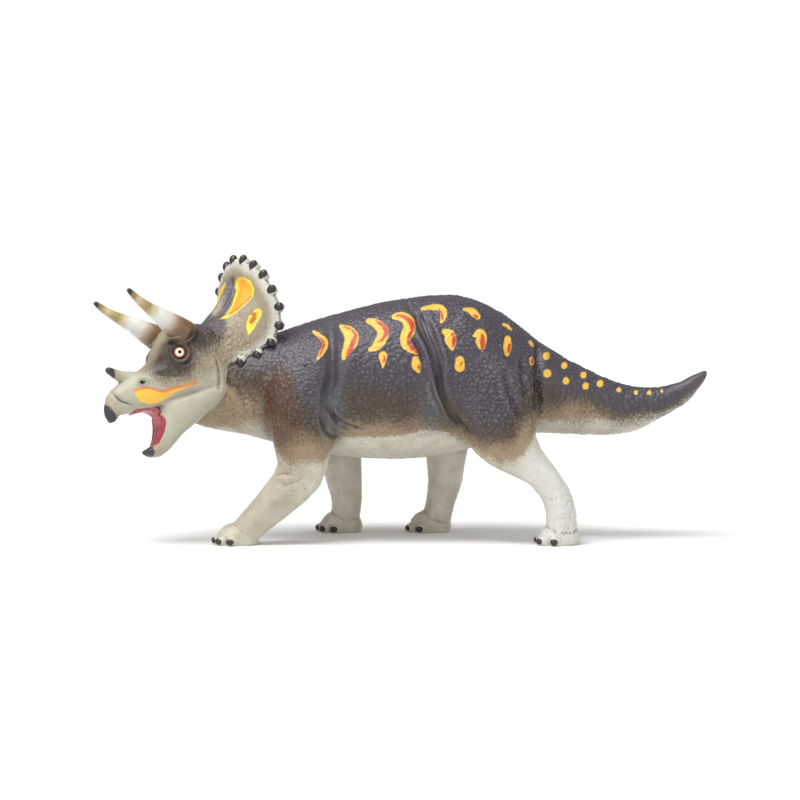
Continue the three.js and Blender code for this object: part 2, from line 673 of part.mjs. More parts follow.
// The frill is a bowed sheet: a row of ribs from foot to rim, thickened evenly to both sides.
function frillSolid() {
  const rim = smoothRows(RIM_SHARES, HEAD_STEPS);
  const foot = smoothRows(FRILL_FOOT_SHARES, HEAD_STEPS);
  const half = (side) => rim.map((row, i) => [frillPoint(foot[i], side), frillPoint(row, side)]);
  const ribs = [...half(-1).reverse(), ...half(1).slice(1)].map(([inner, outer]) => {
    const rib = [];
    for (let band = 0; band <= FRILL_BANDS; band++) {
      const share = band / FRILL_BANDS;
      const point = inner.clone().lerp(outer, share);
      point.x += Math.sin(Math.PI * share) * FRILL_DISH_SHARE * FRILL_WIDTH;
      rib.push(point);
    }
    return rib;
  });
  const facing = (i, band) => {
    const along = ribs[Math.min(i + 1, ribs.length - 1)][band].clone().sub(ribs[Math.max(i - 1, 0)][band]);
    const outward = ribs[i][Math.min(band + 1, FRILL_BANDS)].clone().sub(ribs[i][Math.max(band - 1, 0)]);
    return along.cross(outward).normalize();
  };
  const rings = ribs.map((rib, i) => {
    const front = rib.map((p, band) => p.clone().addScaledVector(facing(i, band), FRILL_THICKNESS / 2));
    const back = rib.map((p, band) => p.clone().addScaledVector(facing(i, band), -FRILL_THICKNESS / 2));
    return [...front, ...back.reverse()];
  });
  return loftOf(rings);
}

// The bony studs round the rim: one in the middle and the rest in pairs, evenly spaced to the end of each lobe.
function studSolids() {
  const edge = new THREE.CatmullRomCurve3(RIM_SHARES.map((row) => frillPoint(row, 1)));
  const sizes = new THREE.Vector3(STUD_RADIUS, STUD_RADIUS, STUD_RADIUS);
  const studs = [ballOf(edge.getPointAt(0), sizes, STUD_FINENESS)];
  for (let i = 1; i <= STUDS_PER_SIDE; i++) {
    const place = edge.getPointAt(i / STUDS_PER_SIDE);
    studs.push(ballOf(place, sizes, STUD_FINENESS));
    studs.push(ballOf(place.clone().setY(-place.y), sizes, STUD_FINENESS));
  }
  return studs;
}

// A horn: a curved spike with a round tip. Rows run from root to tip, as shares of its length, with its taper
// as a share of its radius.
function hornSolid(root, side, rows, length, radius, growth) {
  const stations = smoothRows(rows, BODY_STEPS);
  const centres = stations.map(([forward, out, up]) =>
    root.clone().add(new THREE.Vector3(-forward * length, -side * out * length, up * length)),
  );
  const rings = centres.map((centre, i) => {
    const next = centres[Math.min(i + 1, centres.length - 1)].clone();
    const along = next.sub(centres[Math.max(i - 1, 0)]).normalize();
    const across = new THREE.Vector3().crossVectors(Z, along).normalize();
    const up = new THREE.Vector3().crossVectors(along, across);
    const size = Math.max(stations[i][3] * radius, HORN_TIP_RADIUS) + growth;
    return ringOf(centre, across, up, size, size, size, HORN_SIDES);
  });
  const tip = HORN_TIP_RADIUS + growth;
  const tipSizes = new THREE.Vector3(tip, tip, tip);
  return loftOf(rings).add(ballOf(centres[centres.length - 1], tipSizes, TIP_FINENESS));
}

const BROW_HORN_SHARES = [
  [-0.147, 0, -0.098, 1],
  [0.037, 0.004, 0.024, 0.96],
  [0.302, 0.053, 0.196, 0.7],
  [0.592, 0.12, 0.385, 0.43],
  [0.87, 0.19, 0.605, 0.26],
];
const BROW_ROOT_SHARES = [0.35, 0.68, -0.075]; // of the head's length, half width and depth
const HORN_PLUG_DIRECTION = [0.72, 0.2, -0.66]; // back, inward and down into the skull

function browHorn(side, growth) {
  const root = headPoint(BROW_ROOT_SHARES, side);
  const [back, inward, down] = HORN_PLUG_DIRECTION;
  const direction = new THREE.Vector3(back, side * inward, down).normalize();
  return hornSolid(root, side, BROW_HORN_SHARES, BROW_HORN_LENGTH, BROW_HORN_RADIUS, growth).add(
    plugOf(root, direction, HORN_PLUG_RADIUS, HORN_PLUG_LENGTH, growth),
  );
}

const NOSE_HORN_SHARES = [
  [-0.35, 0, -0.2, 1.25],
  [0, 0, 0, 1],
  [0.4, 0, 0.12, 0.62],
  [0.8, 0, 0.34, 0.34],
];
const NOSE_ROOT_SHARES = [0.72, 0, -0.4];
const EYE_SHARES = [0.405, 0.74, -0.24];
const NECK_PLUG_SHARES = [0.17, 0, -0.33];
const JAW_PLUG_SHARES = [0.41, 0, -0.55];

const neckPlug = (growth) =>
  plugOf(headPoint(NECK_PLUG_SHARES), X.clone().negate(), NECK_PLUG_RADIUS, NECK_PLUG_LENGTH, growth);
const jawPlug = (growth) => plugOf(headPoint(JAW_PLUG_SHARES), Z, JAW_PLUG_RADIUS, JAW_PLUG_LENGTH, growth);
const neckRoom = trunkSolid(JOINT_GAP).transform(intoHead.elements).add(neckPlug(JOINT_GAP));

function skullSolid() {
  const noseRoot = headPoint(NOSE_ROOT_SHARES);
  const eyeSizes = new THREE.Vector3(EYE_RADIUS, EYE_RADIUS, EYE_RADIUS);
  let skull = headLoft(SKULL_SHARES)
    .subtract(belowLips(0))
    .add(frillSolid())
    .add(hornSolid(noseRoot, 0, NOSE_HORN_SHARES, NOSE_HORN_LENGTH, NOSE_HORN_RADIUS, 0));
  for (const stud of studSolids()) skull = skull.add(stud);
  for (const side of [1, -1]) {
    const eye = ballOf(headPoint(EYE_SHARES, side), eyeSizes, EYE_FINENESS);
    skull = skull.add(eye).subtract(browHorn(side, JOINT_GAP));
  }
  return skull.subtract(neckRoom).subtract(jawPlug(JOINT_GAP)).subtract(liningSolid(JOINT_GAP));
}

function jawSolid() {
  return headLoft(JAW_SHARES)
    .intersect(belowLips(-JOINT_GAP))
    .subtract(mouthVoid())
    .subtract(neckRoom)
    .subtract(liningSolid(JOINT_GAP))
    .add(jawPlug(0));
}

head.add(meshOf("head", skullSolid(), headVinyl));
head.add(meshOf("lower_jaw", jawSolid(), jawVinyl));
head.add(meshOf("mouth_lining", liningSolid(0), mouthVinyl));
head.add(meshOf("brow_horn_left", browHorn(1, 0), hornVinyl));
head.add(meshOf("brow_horn_right", browHorn(-1, 0), hornVinyl));

const figure = new THREE.Group();
figure.add(head);
let trunk = trunkSolid(0).add(neckPlug(0).transform(head.matrix.elements)).subtract(tailPlug(JOINT_GAP));
for (const name of Object.keys(LEG_SHARES)) {
  trunk = trunk.subtract(seatedLimb(name, JOINT_GAP));
  figure.add(meshOf(name, legSolid(name), legVinyl));
}
figure.add(meshOf("trunk", trunk, trunkVinyl));
figure.add(meshOf("tail", tailSolid(), tailVinyl));

// The origin is the middle of the figure's box, on the floor.
figure.updateMatrixWorld(true);
const box = new THREE.Box3().setFromObject(figure, true);
figure.position.set(-(box.min.x + box.max.x) / 2, -(box.min.y + box.max.y) / 2, -box.min.z);

export default figure;
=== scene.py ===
"""A hand-painted vinyl dinosaur with three horns, on a white table, its open beak turned to the viewer."""

import math

import bmesh
import bpy
import numpy as np
from mathutils import Matrix, Vector, noise


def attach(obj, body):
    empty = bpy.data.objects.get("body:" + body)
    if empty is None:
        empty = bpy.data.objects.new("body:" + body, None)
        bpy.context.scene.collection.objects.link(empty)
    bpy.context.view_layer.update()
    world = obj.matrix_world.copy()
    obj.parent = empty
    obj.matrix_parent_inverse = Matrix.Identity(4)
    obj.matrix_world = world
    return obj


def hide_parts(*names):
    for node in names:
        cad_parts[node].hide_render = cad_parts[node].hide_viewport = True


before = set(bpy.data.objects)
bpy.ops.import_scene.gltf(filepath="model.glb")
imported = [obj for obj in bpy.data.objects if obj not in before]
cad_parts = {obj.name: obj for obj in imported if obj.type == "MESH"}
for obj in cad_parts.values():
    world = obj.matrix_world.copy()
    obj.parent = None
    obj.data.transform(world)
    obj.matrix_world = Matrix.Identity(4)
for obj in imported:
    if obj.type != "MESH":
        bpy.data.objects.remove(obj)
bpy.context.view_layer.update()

# White table and daylight
# The figure stands on a plain white sheet under one wide, soft lamp, with the pale room all round it. The
# sheet and the room show pure white to the eye of the camera, and the sheet keeps the soft shadows.
MM = 0.001
LOOKED_AT = Vector((-0.3, 1.7, 49.95)) * MM
CAMERA_DISTANCE = 5.0
CAMERA_ELEVATION = math.radians(6)
SEEN_WIDTH = 0.288  # what the picture takes in at the figure
SENSOR_WIDTH = 36.0
TABLE_SIZE = 1.4
ROOM_LIGHT = 0.45
WHITE = (1.0, 1.0, 1.0, 1.0)
GLOW = {0.15: 0.0, 0.9: 0.5}  # by distance: what the sheet adds, to stay white where the lamps fade
LAMPS = {
    "ceiling_lamp": {"place": (-0.28, -0.22, 0.93), "size": (0.6, 0.45), "power": 9.5},
    "window_lamp": {"place": (-0.75, -0.75, 0.45), "size": (0.5, 0.5), "power": 2.6},
    "side_lamp": {"place": (0.85, -0.55, 0.35), "size": (0.4, 0.5), "power": 2.2},
}


def linear(colour):
    """The linear colour, with full cover, of an sRGB colour written as six hex digits."""
    parts = [int(colour[i : i + 2], 16) / 255 for i in (1, 3, 5)]
    return [c / 12.92 if c < 0.04045 else ((c + 0.055) / 1.055) ** 2.4 for c in parts] + [1.0]


def add_node(tree, kind, inputs=None, **settings):
    """Adds a node to a tree with its settings. Its inputs take a plain value or another node's output."""
    new = tree.nodes.new(kind)
    for name, value in settings.items():
        setattr(new, name, value)
    for name, value in (inputs or {}).items():
        if isinstance(value, bpy.types.NodeSocket):
            tree.links.new(value, new.inputs[name])
        else:
            new.inputs[name].default_value = value
    return new


camera = bpy.data.objects.new("camera", bpy.data.cameras.new("camera"))
bpy.context.scene.collection.objects.link(camera)
camera.data.sensor_width = SENSOR_WIDTH
camera.data.lens = SENSOR_WIDTH * CAMERA_DISTANCE / SEEN_WIDTH
back = Vector((0, -math.cos(CAMERA_ELEVATION), math.sin(CAMERA_ELEVATION)))
camera.location = LOOKED_AT + back * CAMERA_DISTANCE
camera.rotation_euler = (-back).to_track_quat("-Z", "Y").to_euler()
bpy.context.scene.camera = camera
bpy.context.scene.view_settings.view_transform = "Standard"

room = bpy.data.worlds.new("pale_room")
bpy.context.scene.world = room
room.use_nodes = True
tree = room.node_tree
tree.nodes.clear()
by_camera = add_node(tree, "ShaderNodeLightPath").outputs["Is Camera Ray"]
lit = add_node(tree, "ShaderNodeBackground", {"Color": WHITE, "Strength": ROOM_LIGHT})
shown = add_node(tree, "ShaderNodeBackground", {"Color": WHITE, "Strength": 1.0})
sky = add_node(tree, "ShaderNodeMixShader", {0: by_camera, 1: lit.outputs[0], 2: shown.outputs[0]})
add_node(tree, "ShaderNodeOutputWorld", {"Surface": sky.outputs[0]})

for name, lamp in LAMPS.items():
    light = bpy.data.lights.new(name, "AREA")
    light.shape = "RECTANGLE"
    light.size, light.size_y = lamp["size"]
    light.energy = lamp["power"]
    holder = bpy.data.objects.new(name, light)
    bpy.context.scene.collection.objects.link(holder)
    holder.location = lamp["place"]
    holder.rotation_euler = (LOOKED_AT - holder.location).to_track_quat("-Z", "Y").to_euler()

bpy.ops.mesh.primitive_plane_add(size=TABLE_SIZE)
table = bpy.context.object
table.name = "table"
sheet = bpy.data.materials.new("white_sheet")
sheet.use_nodes = True
tree = sheet.node_tree
tree.nodes.clear()
by_camera = add_node(tree, "ShaderNodeLightPath").outputs["Is Camera Ray"]
paper = add_node(tree, "ShaderNodeBsdfDiffuse", {"Color": linear("#f4f4f4")})
where = add_node(tree, "ShaderNodeTexCoord").outputs["Object"]
reach = add_node(tree, "ShaderNodeVectorMath", {0: where}, operation="LENGTH").outputs["Value"]
(near, low), (far, high) = GLOW.items()
strength = add_node(tree, "ShaderNodeMapRange", {"Value": reach, 1: near, 2: far, 3: low, 4: high})
glow = add_node(tree, "ShaderNodeEmission", {"Color": WHITE, "Strength": strength.outputs[0]})
pale = add_node(tree, "ShaderNodeAddShader", {0: paper.outputs[0], 1: glow.outputs[0]})
seen = add_node(tree, "ShaderNodeMixShader", {0: by_camera, 1: paper.outputs[0], 2: pale.outputs[0]})
add_node(tree, "ShaderNodeOutputMaterial", {"Surface": seen.outputs[0]})
table.data.materials.append(sheet)

# Body blank
# The trunk, the tail and the four legs are modelled as one clay, so that skin, folds and paint run on over
# their seams, and it is cut into the separate mouldings afterwards.
BODY_NODES = ["trunk", "tail", "front_leg_left", "front_leg_right", "hind_leg_left", "hind_leg_right"]
SEAM_FILL = 0.22  # how far each blank is swollen, so that neighbours meet
BODY_GRAIN = 0.5  # distance between two points of the clay
DOUBLE_GAP = 0.001  # corners of a solid's triangles that lie closer are one point
EVEN_TURNS = {"feet": 3, "rest": 24, "flanks": 260}
TIP_SWELL = 0.7  # the tip of the tail is blunt


def select_only(*pieces):
    """Selects these objects alone, the last one active."""
    bpy.ops.object.select_all(action="DESELECT")
    for piece in pieces:
        piece.select_set(True)
        bpy.context.view_layer.objects.active = piece


def blank_of(node_name, swell):
    """A merged copy of a fixed node's solid, swollen evenly."""
    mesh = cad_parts[node_name].data.copy()
    mesh.materials.clear()
    blank = bpy.data.objects.new(node_name + "_blank", mesh)
    bpy.context.scene.collection.objects.link(blank)
    select_only(blank)
    bpy.ops.object.mode_set(mode="EDIT")
    bpy.ops.mesh.select_all(action="SELECT")
    bpy.ops.mesh.remove_doubles(threshold=DOUBLE_GAP * MM)
    bpy.ops.object.mode_set(mode="OBJECT")
    change(blank, "DISPLACE", strength=swell * MM, mid_level=0.0)
    return blank


def change(piece, kind, **settings):
    """Applies one modifier to a piece."""
    select_only(piece)
    modifier = piece.modifiers.new(kind.lower(), kind)
    for name, value in settings.items():
        setattr(modifier, name, value)
    bpy.ops.object.modifier_apply(modifier=modifier.name)


def joined(name, blanks):
    """One object from several."""
    select_only(*blanks)
    bpy.ops.object.join()
    piece = bpy.context.object
    piece.name = name
    piece.data.name = name
    return piece


def places(piece):
    """The places of a mesh's points, in millimetres."""
    flat = np.empty(len(piece.data.vertices) * 3, np.float32)
    piece.data.vertices.foreach_get("co", flat)
    return flat.reshape(-1, 3).astype(float) / MM


def facings(piece):
    """The outward directions of a mesh's points."""
    flat = np.empty(len(piece.data.vertices) * 3, np.float32)
    piece.data.vertex_normals.foreach_get("vector", flat)
    return flat.reshape(-1, 3).astype(float)


def push(piece, heights):
    """Moves each point outwards by its height, in millimetres."""
    moved = places(piece) + facings(piece) * heights[:, None]
    piece.data.vertices.foreach_set("co", (moved * MM).astype(np.float32).ravel())
    piece.data.update()


def relax(piece, weights, turns):
    """Evens out a mesh, each point by its weight, in a number of turns."""
    group = piece.vertex_groups.new(name="relax")
    levels = np.round(np.clip(weights, 0, 1) * 10).astype(int)
    for level in range(1, 11):
        group.add(np.nonzero(levels == level)[0].tolist(), level / 10, "REPLACE")
    change(piece, "SMOOTH", factor=0.5, iterations=turns, vertex_group="relax")
    piece.vertex_groups.remove(piece.vertex_groups["relax"])


def rise(values, start, end):
    """0 before start and 1 after end, with a smooth step between."""
    t = np.clip((values - start) / (end - start), 0, 1)
    return t * t * (3 - 2 * t)


def rough(at, pitch, seed=0.0, stretch=(1, 1, 1)):
    """Smooth noise from -1 to 1 with lumps of about this pitch, in millimetres."""
    scaled = at / pitch / np.array(stretch) + seed
    return np.array([noise.noise(Vector(p)) for p in scaled])


body = joined("body_clay", [blank_of(name, SEAM_FILL) for name in BODY_NODES])
body.data.remesh_voxel_size = BODY_GRAIN * MM
select_only(body)
bpy.ops.object.voxel_remesh()
x, _, z = places(body).T
# The feet keep their toes and the tail its tip, and the rest is evened out until the facets are gone. The
# flanks take longest, because the legs are plugged in there.
above_feet = rise(z, 5, 12)
on_flanks = rise(z, 44, 56) * (1 - rise(z, 76, 82))
relax(body, 1 - above_feet, EVEN_TURNS["feet"])
relax(body, above_feet * (1 - rise(x, 94, 104)), EVEN_TURNS["rest"])
relax(body, on_flanks, EVEN_TURNS["flanks"])
push(body, TIP_SWELL * rise(x, 98, 106))

# Folds of the body
# Deep folds part the shoulder and the thigh from the flank, and smaller ones gather at the elbow, the knee,
# the neck and the root of the tail. Each follows a path of x and z in millimetres on the left side.
FOLDS = [
    {
        "path": [(-25.5, 79), (-24.6, 70), (-25.2, 61), (-26.6, 53), (-26.4, 42)],
        "width": 2.1, "depth": 1.7, "lip": 0.4,
    },
    {"path": [(-22.5, 76), (-20.5, 69), (-21.5, 61)], "width": 1.3, "depth": 0.4, "lip": 0.2},
    {"path": [(-26.5, 51), (-24, 47), (-19, 43.5), (-13, 42)], "width": 0.7, "depth": 0.9, "lip": 0.6},
    {"path": [(-25, 47), (-22, 43.5), (-17, 41)], "width": 0.7, "depth": 0.8, "lip": 0.55},
    {"path": [(-28.5, 47), (-26.5, 41), (-22, 38)], "width": 0.8, "depth": 0.8, "lip": 0.4},
    {
        "path": [(5.5, 82), (8, 76.5), (11, 70.5), (13.2, 63), (14.5, 55), (19, 46), (25, 40)],
        "width": 1.25, "depth": 1.7, "lip": 0.5,
    },
    {"path": [(7, 82.5), (9.9, 76), (12.7, 69), (14.6, 60)], "width": 0.5, "depth": 0.8, "lip": 0.3},
    {"path": [(8.5, 81.5), (11.5, 76), (14, 69), (15.5, 61)], "width": 0.8, "depth": 1.1, "lip": 0.5},
    {"path": [(3.2, 77), (6.5, 71), (9.5, 64.5)], "width": 0.8, "depth": 0.8, "lip": 0.4},
    {"path": [(10.5, 60), (12, 54), (15.5, 47)], "width": 0.7, "depth": 0.7, "lip": 0.35},
    {"path": [(37, 64), (38.5, 56), (41.5, 49), (44.5, 45)], "width": 1.0, "depth": 1.0, "lip": 0.4},
    {"path": [(43, 68), (43.5, 60), (45, 52)], "width": 0.8, "depth": 0.8, "lip": 0.35},
    {"path": [(49, 77), (49.2, 66), (49.2, 56), (48.6, 44)], "width": 1.2, "depth": 1.7, "lip": 0.5},
    {
        "path": [(-65, 65), (-61.6, 58), (-58.4, 56), (-56, 52), (-54.6, 46)],
        "width": 1.2, "depth": 0.7, "lip": 0.4,
    },
    {"path": [(-57.5, 60), (-54.6, 55), (-52.8, 50), (-52.2, 46)], "width": 1.1, "depth": 0.45, "lip": 0.3},
    {"path": [(-46, 25), (-42, 26.2), (-38, 25)], "width": 0.9, "depth": 0.26, "lip": 0.22},
    {"path": [(-45, 22.2), (-40, 22.6), (-34, 25)], "width": 0.9, "depth": 0.2, "lip": 0.2},
    {"path": [(-41, 20.5), (-36, 20.4), (-31, 22.6)], "width": 0.9, "depth": 0.18, "lip": 0.18},
    {"path": [(49, 18.5), (53, 16.8), (57, 17.4)], "width": 0.8, "depth": 0.16, "lip": 0.18},
]
LIP_PLACE = 2.1  # from the bottom of a fold to the top of its lip, in widths of the fold
LIP_WIDTH = 1.2
FADE_POWER = 0.6  # below 1, a fold keeps its depth nearly to its ends
BODY_MIDDLE = 1.7  # the middle of the body across
# The right legs stand elsewhere along the body, so the right side's folds and coats are shifted with them.
RIGHT_SIDE_X = [-110, -60, -27, -19, -1, 22, 49, 110]
LEFT_SIDE_X = [-110, -60, -34.4, -26, 8, 31, 49, 110]


def curved(rows, steps=6):
    """Points on a smooth curve through rows of numbers."""
    rows = np.array(rows, float)
    padded = np.vstack([2 * rows[0] - rows[1], rows, 2 * rows[-1] - rows[-2]])
    out = []
    for a, b, c, d in zip(padded, padded[1:], padded[2:], padded[3:]):
        for t in np.arange(steps) / steps:
            twist = t * ((d - a) / 2 + 1.5 * (b - c))
            out.append(b + t * ((c - a) / 2 + t * (a - 2.5 * b + 2 * c - d / 2 + twist)))
    return np.array(out + [rows[-1]])


def near_path(spots, path):
    """How far each spot is from a path, and where along it, from 0 to 1, its nearest point lies."""
    size = spots.shape[1]
    far = np.full(len(spots), 1e9)
    share = np.zeros(len(spots))
    lengths = np.linalg.norm(np.diff(path[:, :size], axis=0), axis=1)
    starts = np.concatenate([[0], np.cumsum(lengths)])
    for a, b, start, length in zip(path, path[1:], starts, lengths):
        step = (b - a)[:size]
        t = np.clip((spots - a[:size]) @ step / max(length * length, 1e-9), 0, 1)
        distance = np.linalg.norm(spots - a[:size] - t[:, None] * step, axis=1)
        closer = distance < far
        far[closer] = distance[closer]
        share[closer] = ((start + t * length) / starts[-1])[closer]
    return far, share


def gap_to(spots, path):
    """How far each spot is from the smooth curve through a path's rows."""
    return near_path(spots, curved(path))[0]


def swelling(far, height, width, power=2):
    """A soft bump, as high as its height where far is 0 and nearly gone at twice its width."""
    return height * np.exp(-((far / width) ** power))


def fold_heights(spots, fold):
    """Heights of a fold: a groove with a rounded lip on each side, all fading out at its ends."""
    far, share = near_path(spots, curved(fold["path"]))
    width = fold["width"]
    fade = np.sin(np.pi * np.clip(share, 0, 1)) ** FADE_POWER
    lip = swelling(far - LIP_PLACE * width, fold["lip"], LIP_WIDTH * width)
    return fade * (lip - swelling(far, fold["depth"], width))


def on_left_side(at):
    """Places along and up the left side of the body that these places match."""
    along = np.where(at[:, 1] > BODY_MIDDLE, np.interp(at[:, 0], RIGHT_SIDE_X, LEFT_SIDE_X), at[:, 0])
    return np.column_stack([along, at[:, 2]])


at = places(body)
out = facings(body)
outer = rise(out[:, 1] * np.sign(at[:, 1]), 0.1, 0.4)  # not on the inner side of a leg
spots = on_left_side(at)
heights = np.zeros(len(at))
for fold in FOLDS:
    heights += outer * fold_heights(spots, fold)
push(body, heights)

# Skin of the body
# Everywhere but on the belly and the shins the skin is leathery: soft lumps under close round scales. The
# tail is wrinkled up and down, and fine creases net the shins. Pitches and heights are in millimetres.
SCALE_PITCH = 1.55
SCALE_BEND = 0.35  # how far the scales stray from an even pattern, in pitches
VALLEY_WIDTH = 0.42  # how wide the slope of a scale is, in pitches
SCALE_ROUNDNESS = 0.7
SCALE_HEIGHT = 0.38
THIGH_EXTRA = 0.14  # the scales of the thighs stand higher
WRINKLE_PITCH = 2.1
WRINKLE_HEIGHT = 0.36
CREASE_PITCH = 3.0
CREASE_HEIGHT = 0.18
DEEP_FOLD = 1.2  # the skin is stretched smooth in folds wider than this
STRETCH_REACH = 2.6


def scales(at, pitch, seed=0.0, stretch=(1, 1, 1)):
    """Round scales from 0 in the valleys between them to 1 on their tops."""
    bent = at + SCALE_BEND * pitch * np.column_stack([rough(at, 1.7 * pitch, seed + i) for i in (1, 2, 3)])
    heights = []
    for spot in bent / pitch / np.array(stretch) + seed:
        near = noise.voronoi(Vector(spot), distance_metric="DISTANCE")[0]
        heights.append(near[1] - near[0])
    return np.minimum(np.array(heights) / VALLEY_WIDTH, 1) ** SCALE_ROUNDNESS


at = places(body)
x, y, z = at.T
leather = rise(z, 34, 46)
tail_share = rise(x, 48, 56)
shin_share = (1 - leather) * (1 - tail_share) * rise(z, 7, 12)
lumps = 0.25 * rough(at, 7) + 0.15 * rough(at, 3.6, seed=7)
scale_heights = SCALE_HEIGHT + THIGH_EXTRA * rise(x, 18, 26) * rise(-z, -66, -58)
tail_wrinkles = WRINKLE_HEIGHT * (scales(at, WRINKLE_PITCH, seed=5, stretch=(0.8, 0.8, 2.2)) - 0.7)
creases = scales(at, CREASE_PITCH, seed=9, stretch=(1.4, 1.4, 0.8)) - 0.8
spots = on_left_side(at)
stretched = np.zeros(len(at))
for fold in FOLDS:
    if fold["width"] > DEEP_FOLD:
        stretched = np.maximum(stretched, swelling(gap_to(spots, fold["path"]), 1, STRETCH_REACH))
push(
    body,
    leather * (1 - 0.6 * stretched) * lumps
    + leather * (1 - tail_share) * (1 - 0.85 * stretched) * scale_heights * (scales(at, SCALE_PITCH) - 0.7)
    + tail_share * rise(x, 50, 60) * tail_wrinkles * rise(106 - x, 0, 20)
    + shin_share * CREASE_HEIGHT * creases,
)


def hollows(piece, turns):
    """How far each point lies under the evened-out surface around it, in millimetres."""
    mesh = piece.data
    pairs = np.empty(len(mesh.edges) * 2, np.int32)
    mesh.edges.foreach_get("vertices", pairs)
    a, b = pairs.reshape(-1, 2).T
    points = len(mesh.vertices)
    count = np.bincount(a, minlength=points) + np.bincount(b, minlength=points)
    start = places(piece)
    even = start
    for _ in range(turns):
        total = np.empty_like(even)
        for axis in range(3):
            total[:, axis] = np.bincount(a, even[b, axis], points) + np.bincount(b, even[a, axis], points)
        even = (even + total / count[:, None]) / 2
    return np.einsum("ij,ij->i", even - start, facings(piece))


def mark_points(piece, name, values):
    """Stores one number at each point of a piece, for its material to read."""
    attribute = piece.data.attributes.new(name, "FLOAT", "POINT")
    attribute.data.foreach_set("value", values.astype(np.float32))


# Paint of the body
# The vinyl is cast in cream and airbrushed from above: tan, then brown, then a purple black on the back. Each
# coat ends at a height that changes along the body; rows are x and z in millimetres.
COAT_EDGES = {
    "tan_coat": [
        (-66, 43), (-58, 41.5), (-50, 43), (-40, 29), (-28, 31), (-21, 38.5), (-12, 38.5), (0, 39.5),
        (10, 42), (16, 41), (26, 34), (36, 29), (44, 33.5), (50, 43), (62, 43.5), (80, 43), (96, 46),
        (104, 52), (110, 57),
    ],
    "brown_coat": [
        (-66, 63), (-58, 55), (-50, 52), (-42, 42), (-30, 37), (-20, 43.5), (0, 43.5), (14, 44), (20, 41),
        (30, 37), (40, 38), (46, 47), (60, 50), (80, 44), (94, 43), (108, 54),
    ],
    # Behind the shoulder the dark reaches down to z 45 in the deep fold: partly the purple black, partly
    # painted shade.
    "dark_coat": [
        (-66, 80), (-60, 68), (-54, 62), (-49, 62), (-44, 65), (-39, 62), (-36, 52), (-28, 45), (-24, 50),
        (-20, 57), (-8, 57), (3, 55), (11, 54), (16, 55), (22, 49), (28, 43), (36, 43), (41, 49), (46, 57),
        (52, 57), (61, 54), (72, 50), (84, 46.5), (92, 46), (101, 49), (108, 55),
    ],
}
BELLY_CRISPNESS = 2.5  # along the belly the tan ends this much more sharply
RUST_PATCHES = [(-45, 51, 6, 15), (-44, 42, 6, 8)]  # x, z and half sizes of each
# Paler slate grey on the smooth glossy valleys behind the shoulder and before the thigh is a painted sheen.
SLATE_SHEEN_PATCHES = [(-24, 47, 4.5, 9), (10.5, 50.5, 3.8, 8)]
SHIN_HIGHLIGHT = (56, 18, 15)  # x, z and half size along of the hind shin's painted highlight, which is a quarter longer up and down
FOREARM_LINE = [(-40, 29), (-44, 21), (-48, 15.5), (-54, 9)]  # brown from the elbow to the wrist: partly paint, partly painted shade over the forearm's lit front
FOREARM_WIDTH = 7  # half of it
BROWN_HOLLOW = 0.35  # hollows of the legs that are deeper than this are brown too: brown wash and painted shade of the creases
MARK_REACH = 16  # no mark of the next section is longer than this from its middle
RED_OVERHANG = 0.4  # how far the red of a mark may run over its yellow
OUTSIDE = -99.0  # stored where a coat or a mark is far away


def in_patches(spots, patches):
    """How far each spot lies inside the nearest of some oval patches, in millimetres."""
    inside = np.full(len(spots), OUTSIDE)
    for along, height, wide, high in patches:
        away = np.hypot((spots[:, 0] - along) / wide, (spots[:, 1] - height) / high)
        inside = np.maximum(inside, wide * (1 - away))
    return inside


def paint_body(piece):
    """Stores how far each point lies inside each coat of the body's paint, and how deep in a hollow."""
    at = places(piece)
    spots = on_left_side(at)
    wander = 2.2 * rough(at, 9, seed=11) + 1.1 * rough(at, 4, seed=12)
    along_belly = rise(spots[:, 0], -24, -16) * rise(-spots[:, 0], -22, -14)
    for name, edge in COAT_EDGES.items():
        crisp = 1 + BELLY_CRISPNESS * along_belly * (name == "tan_coat")
        over_edge = spots[:, 1] - np.interp(spots[:, 0], *np.array(edge).T)
        mark_points(piece, name, crisp * over_edge + wander)
    mark_points(piece, "rust_coat", in_patches(spots, RUST_PATCHES) + 0.5 * wander)
    # The slate patches are a painted sheen of the smooth glossy skin.
    mark_points(piece, "slate_sheen", in_patches(spots, SLATE_SHEEN_PATCHES))
    # The hind shins are sprayed whiter: a painted highlight of the light falling on the glossy vinyl there.
    shin_x, shin_z, reach = SHIN_HIGHLIGHT
    shin = reach - np.hypot(spots[:, 0] - shin_x, (spots[:, 1] - shin_z) * 0.8)
    mark_points(piece, "shin_highlight", shin + wander)
    # Brown on the legs is partly paint and partly painted shade: along the forearm's lit front and in deep
    # creases.
    forearm = FOREARM_WIDTH - gap_to(spots, FOREARM_LINE)
    creased = 6 * (hollows(piece, 30) - BROWN_HOLLOW)
    mark_points(piece, "leg_brown_and_shade", np.maximum(forearm, creased) + wander)
    # How deep each point lies in a hollow, for the wash and the painted shade there.
    mark_points(piece, "wash_and_shade", hollows(piece, 8))
    marks = {"yellow": np.full(len(at), OUTSIDE), "red": np.full(len(at), OUTSIDE)}
    for mark in MARKS:
        for colour in mark:
            path = curved(mark[colour])
            close = np.hypot(*(spots - path[:, :2].mean(0)).T) < MARK_REACH
            far, share = near_path(spots[close], path)
            radius = np.interp(share, np.linspace(0, 1, len(path)), path[:, 2])
            marks[colour][close] = np.maximum(marks[colour][close], radius - far)
    for along, height, radius in TAIL_DOTS:
        far = np.hypot(spots[:, 0] - along, spots[:, 1] - height)
        marks["yellow"] = np.maximum(marks["yellow"], radius - far)
    mark_points(piece, "yellow_mark", marks["yellow"])
    mark_points(piece, "red_mark", np.minimum(marks["red"], marks["yellow"] + RED_OVERHANG))


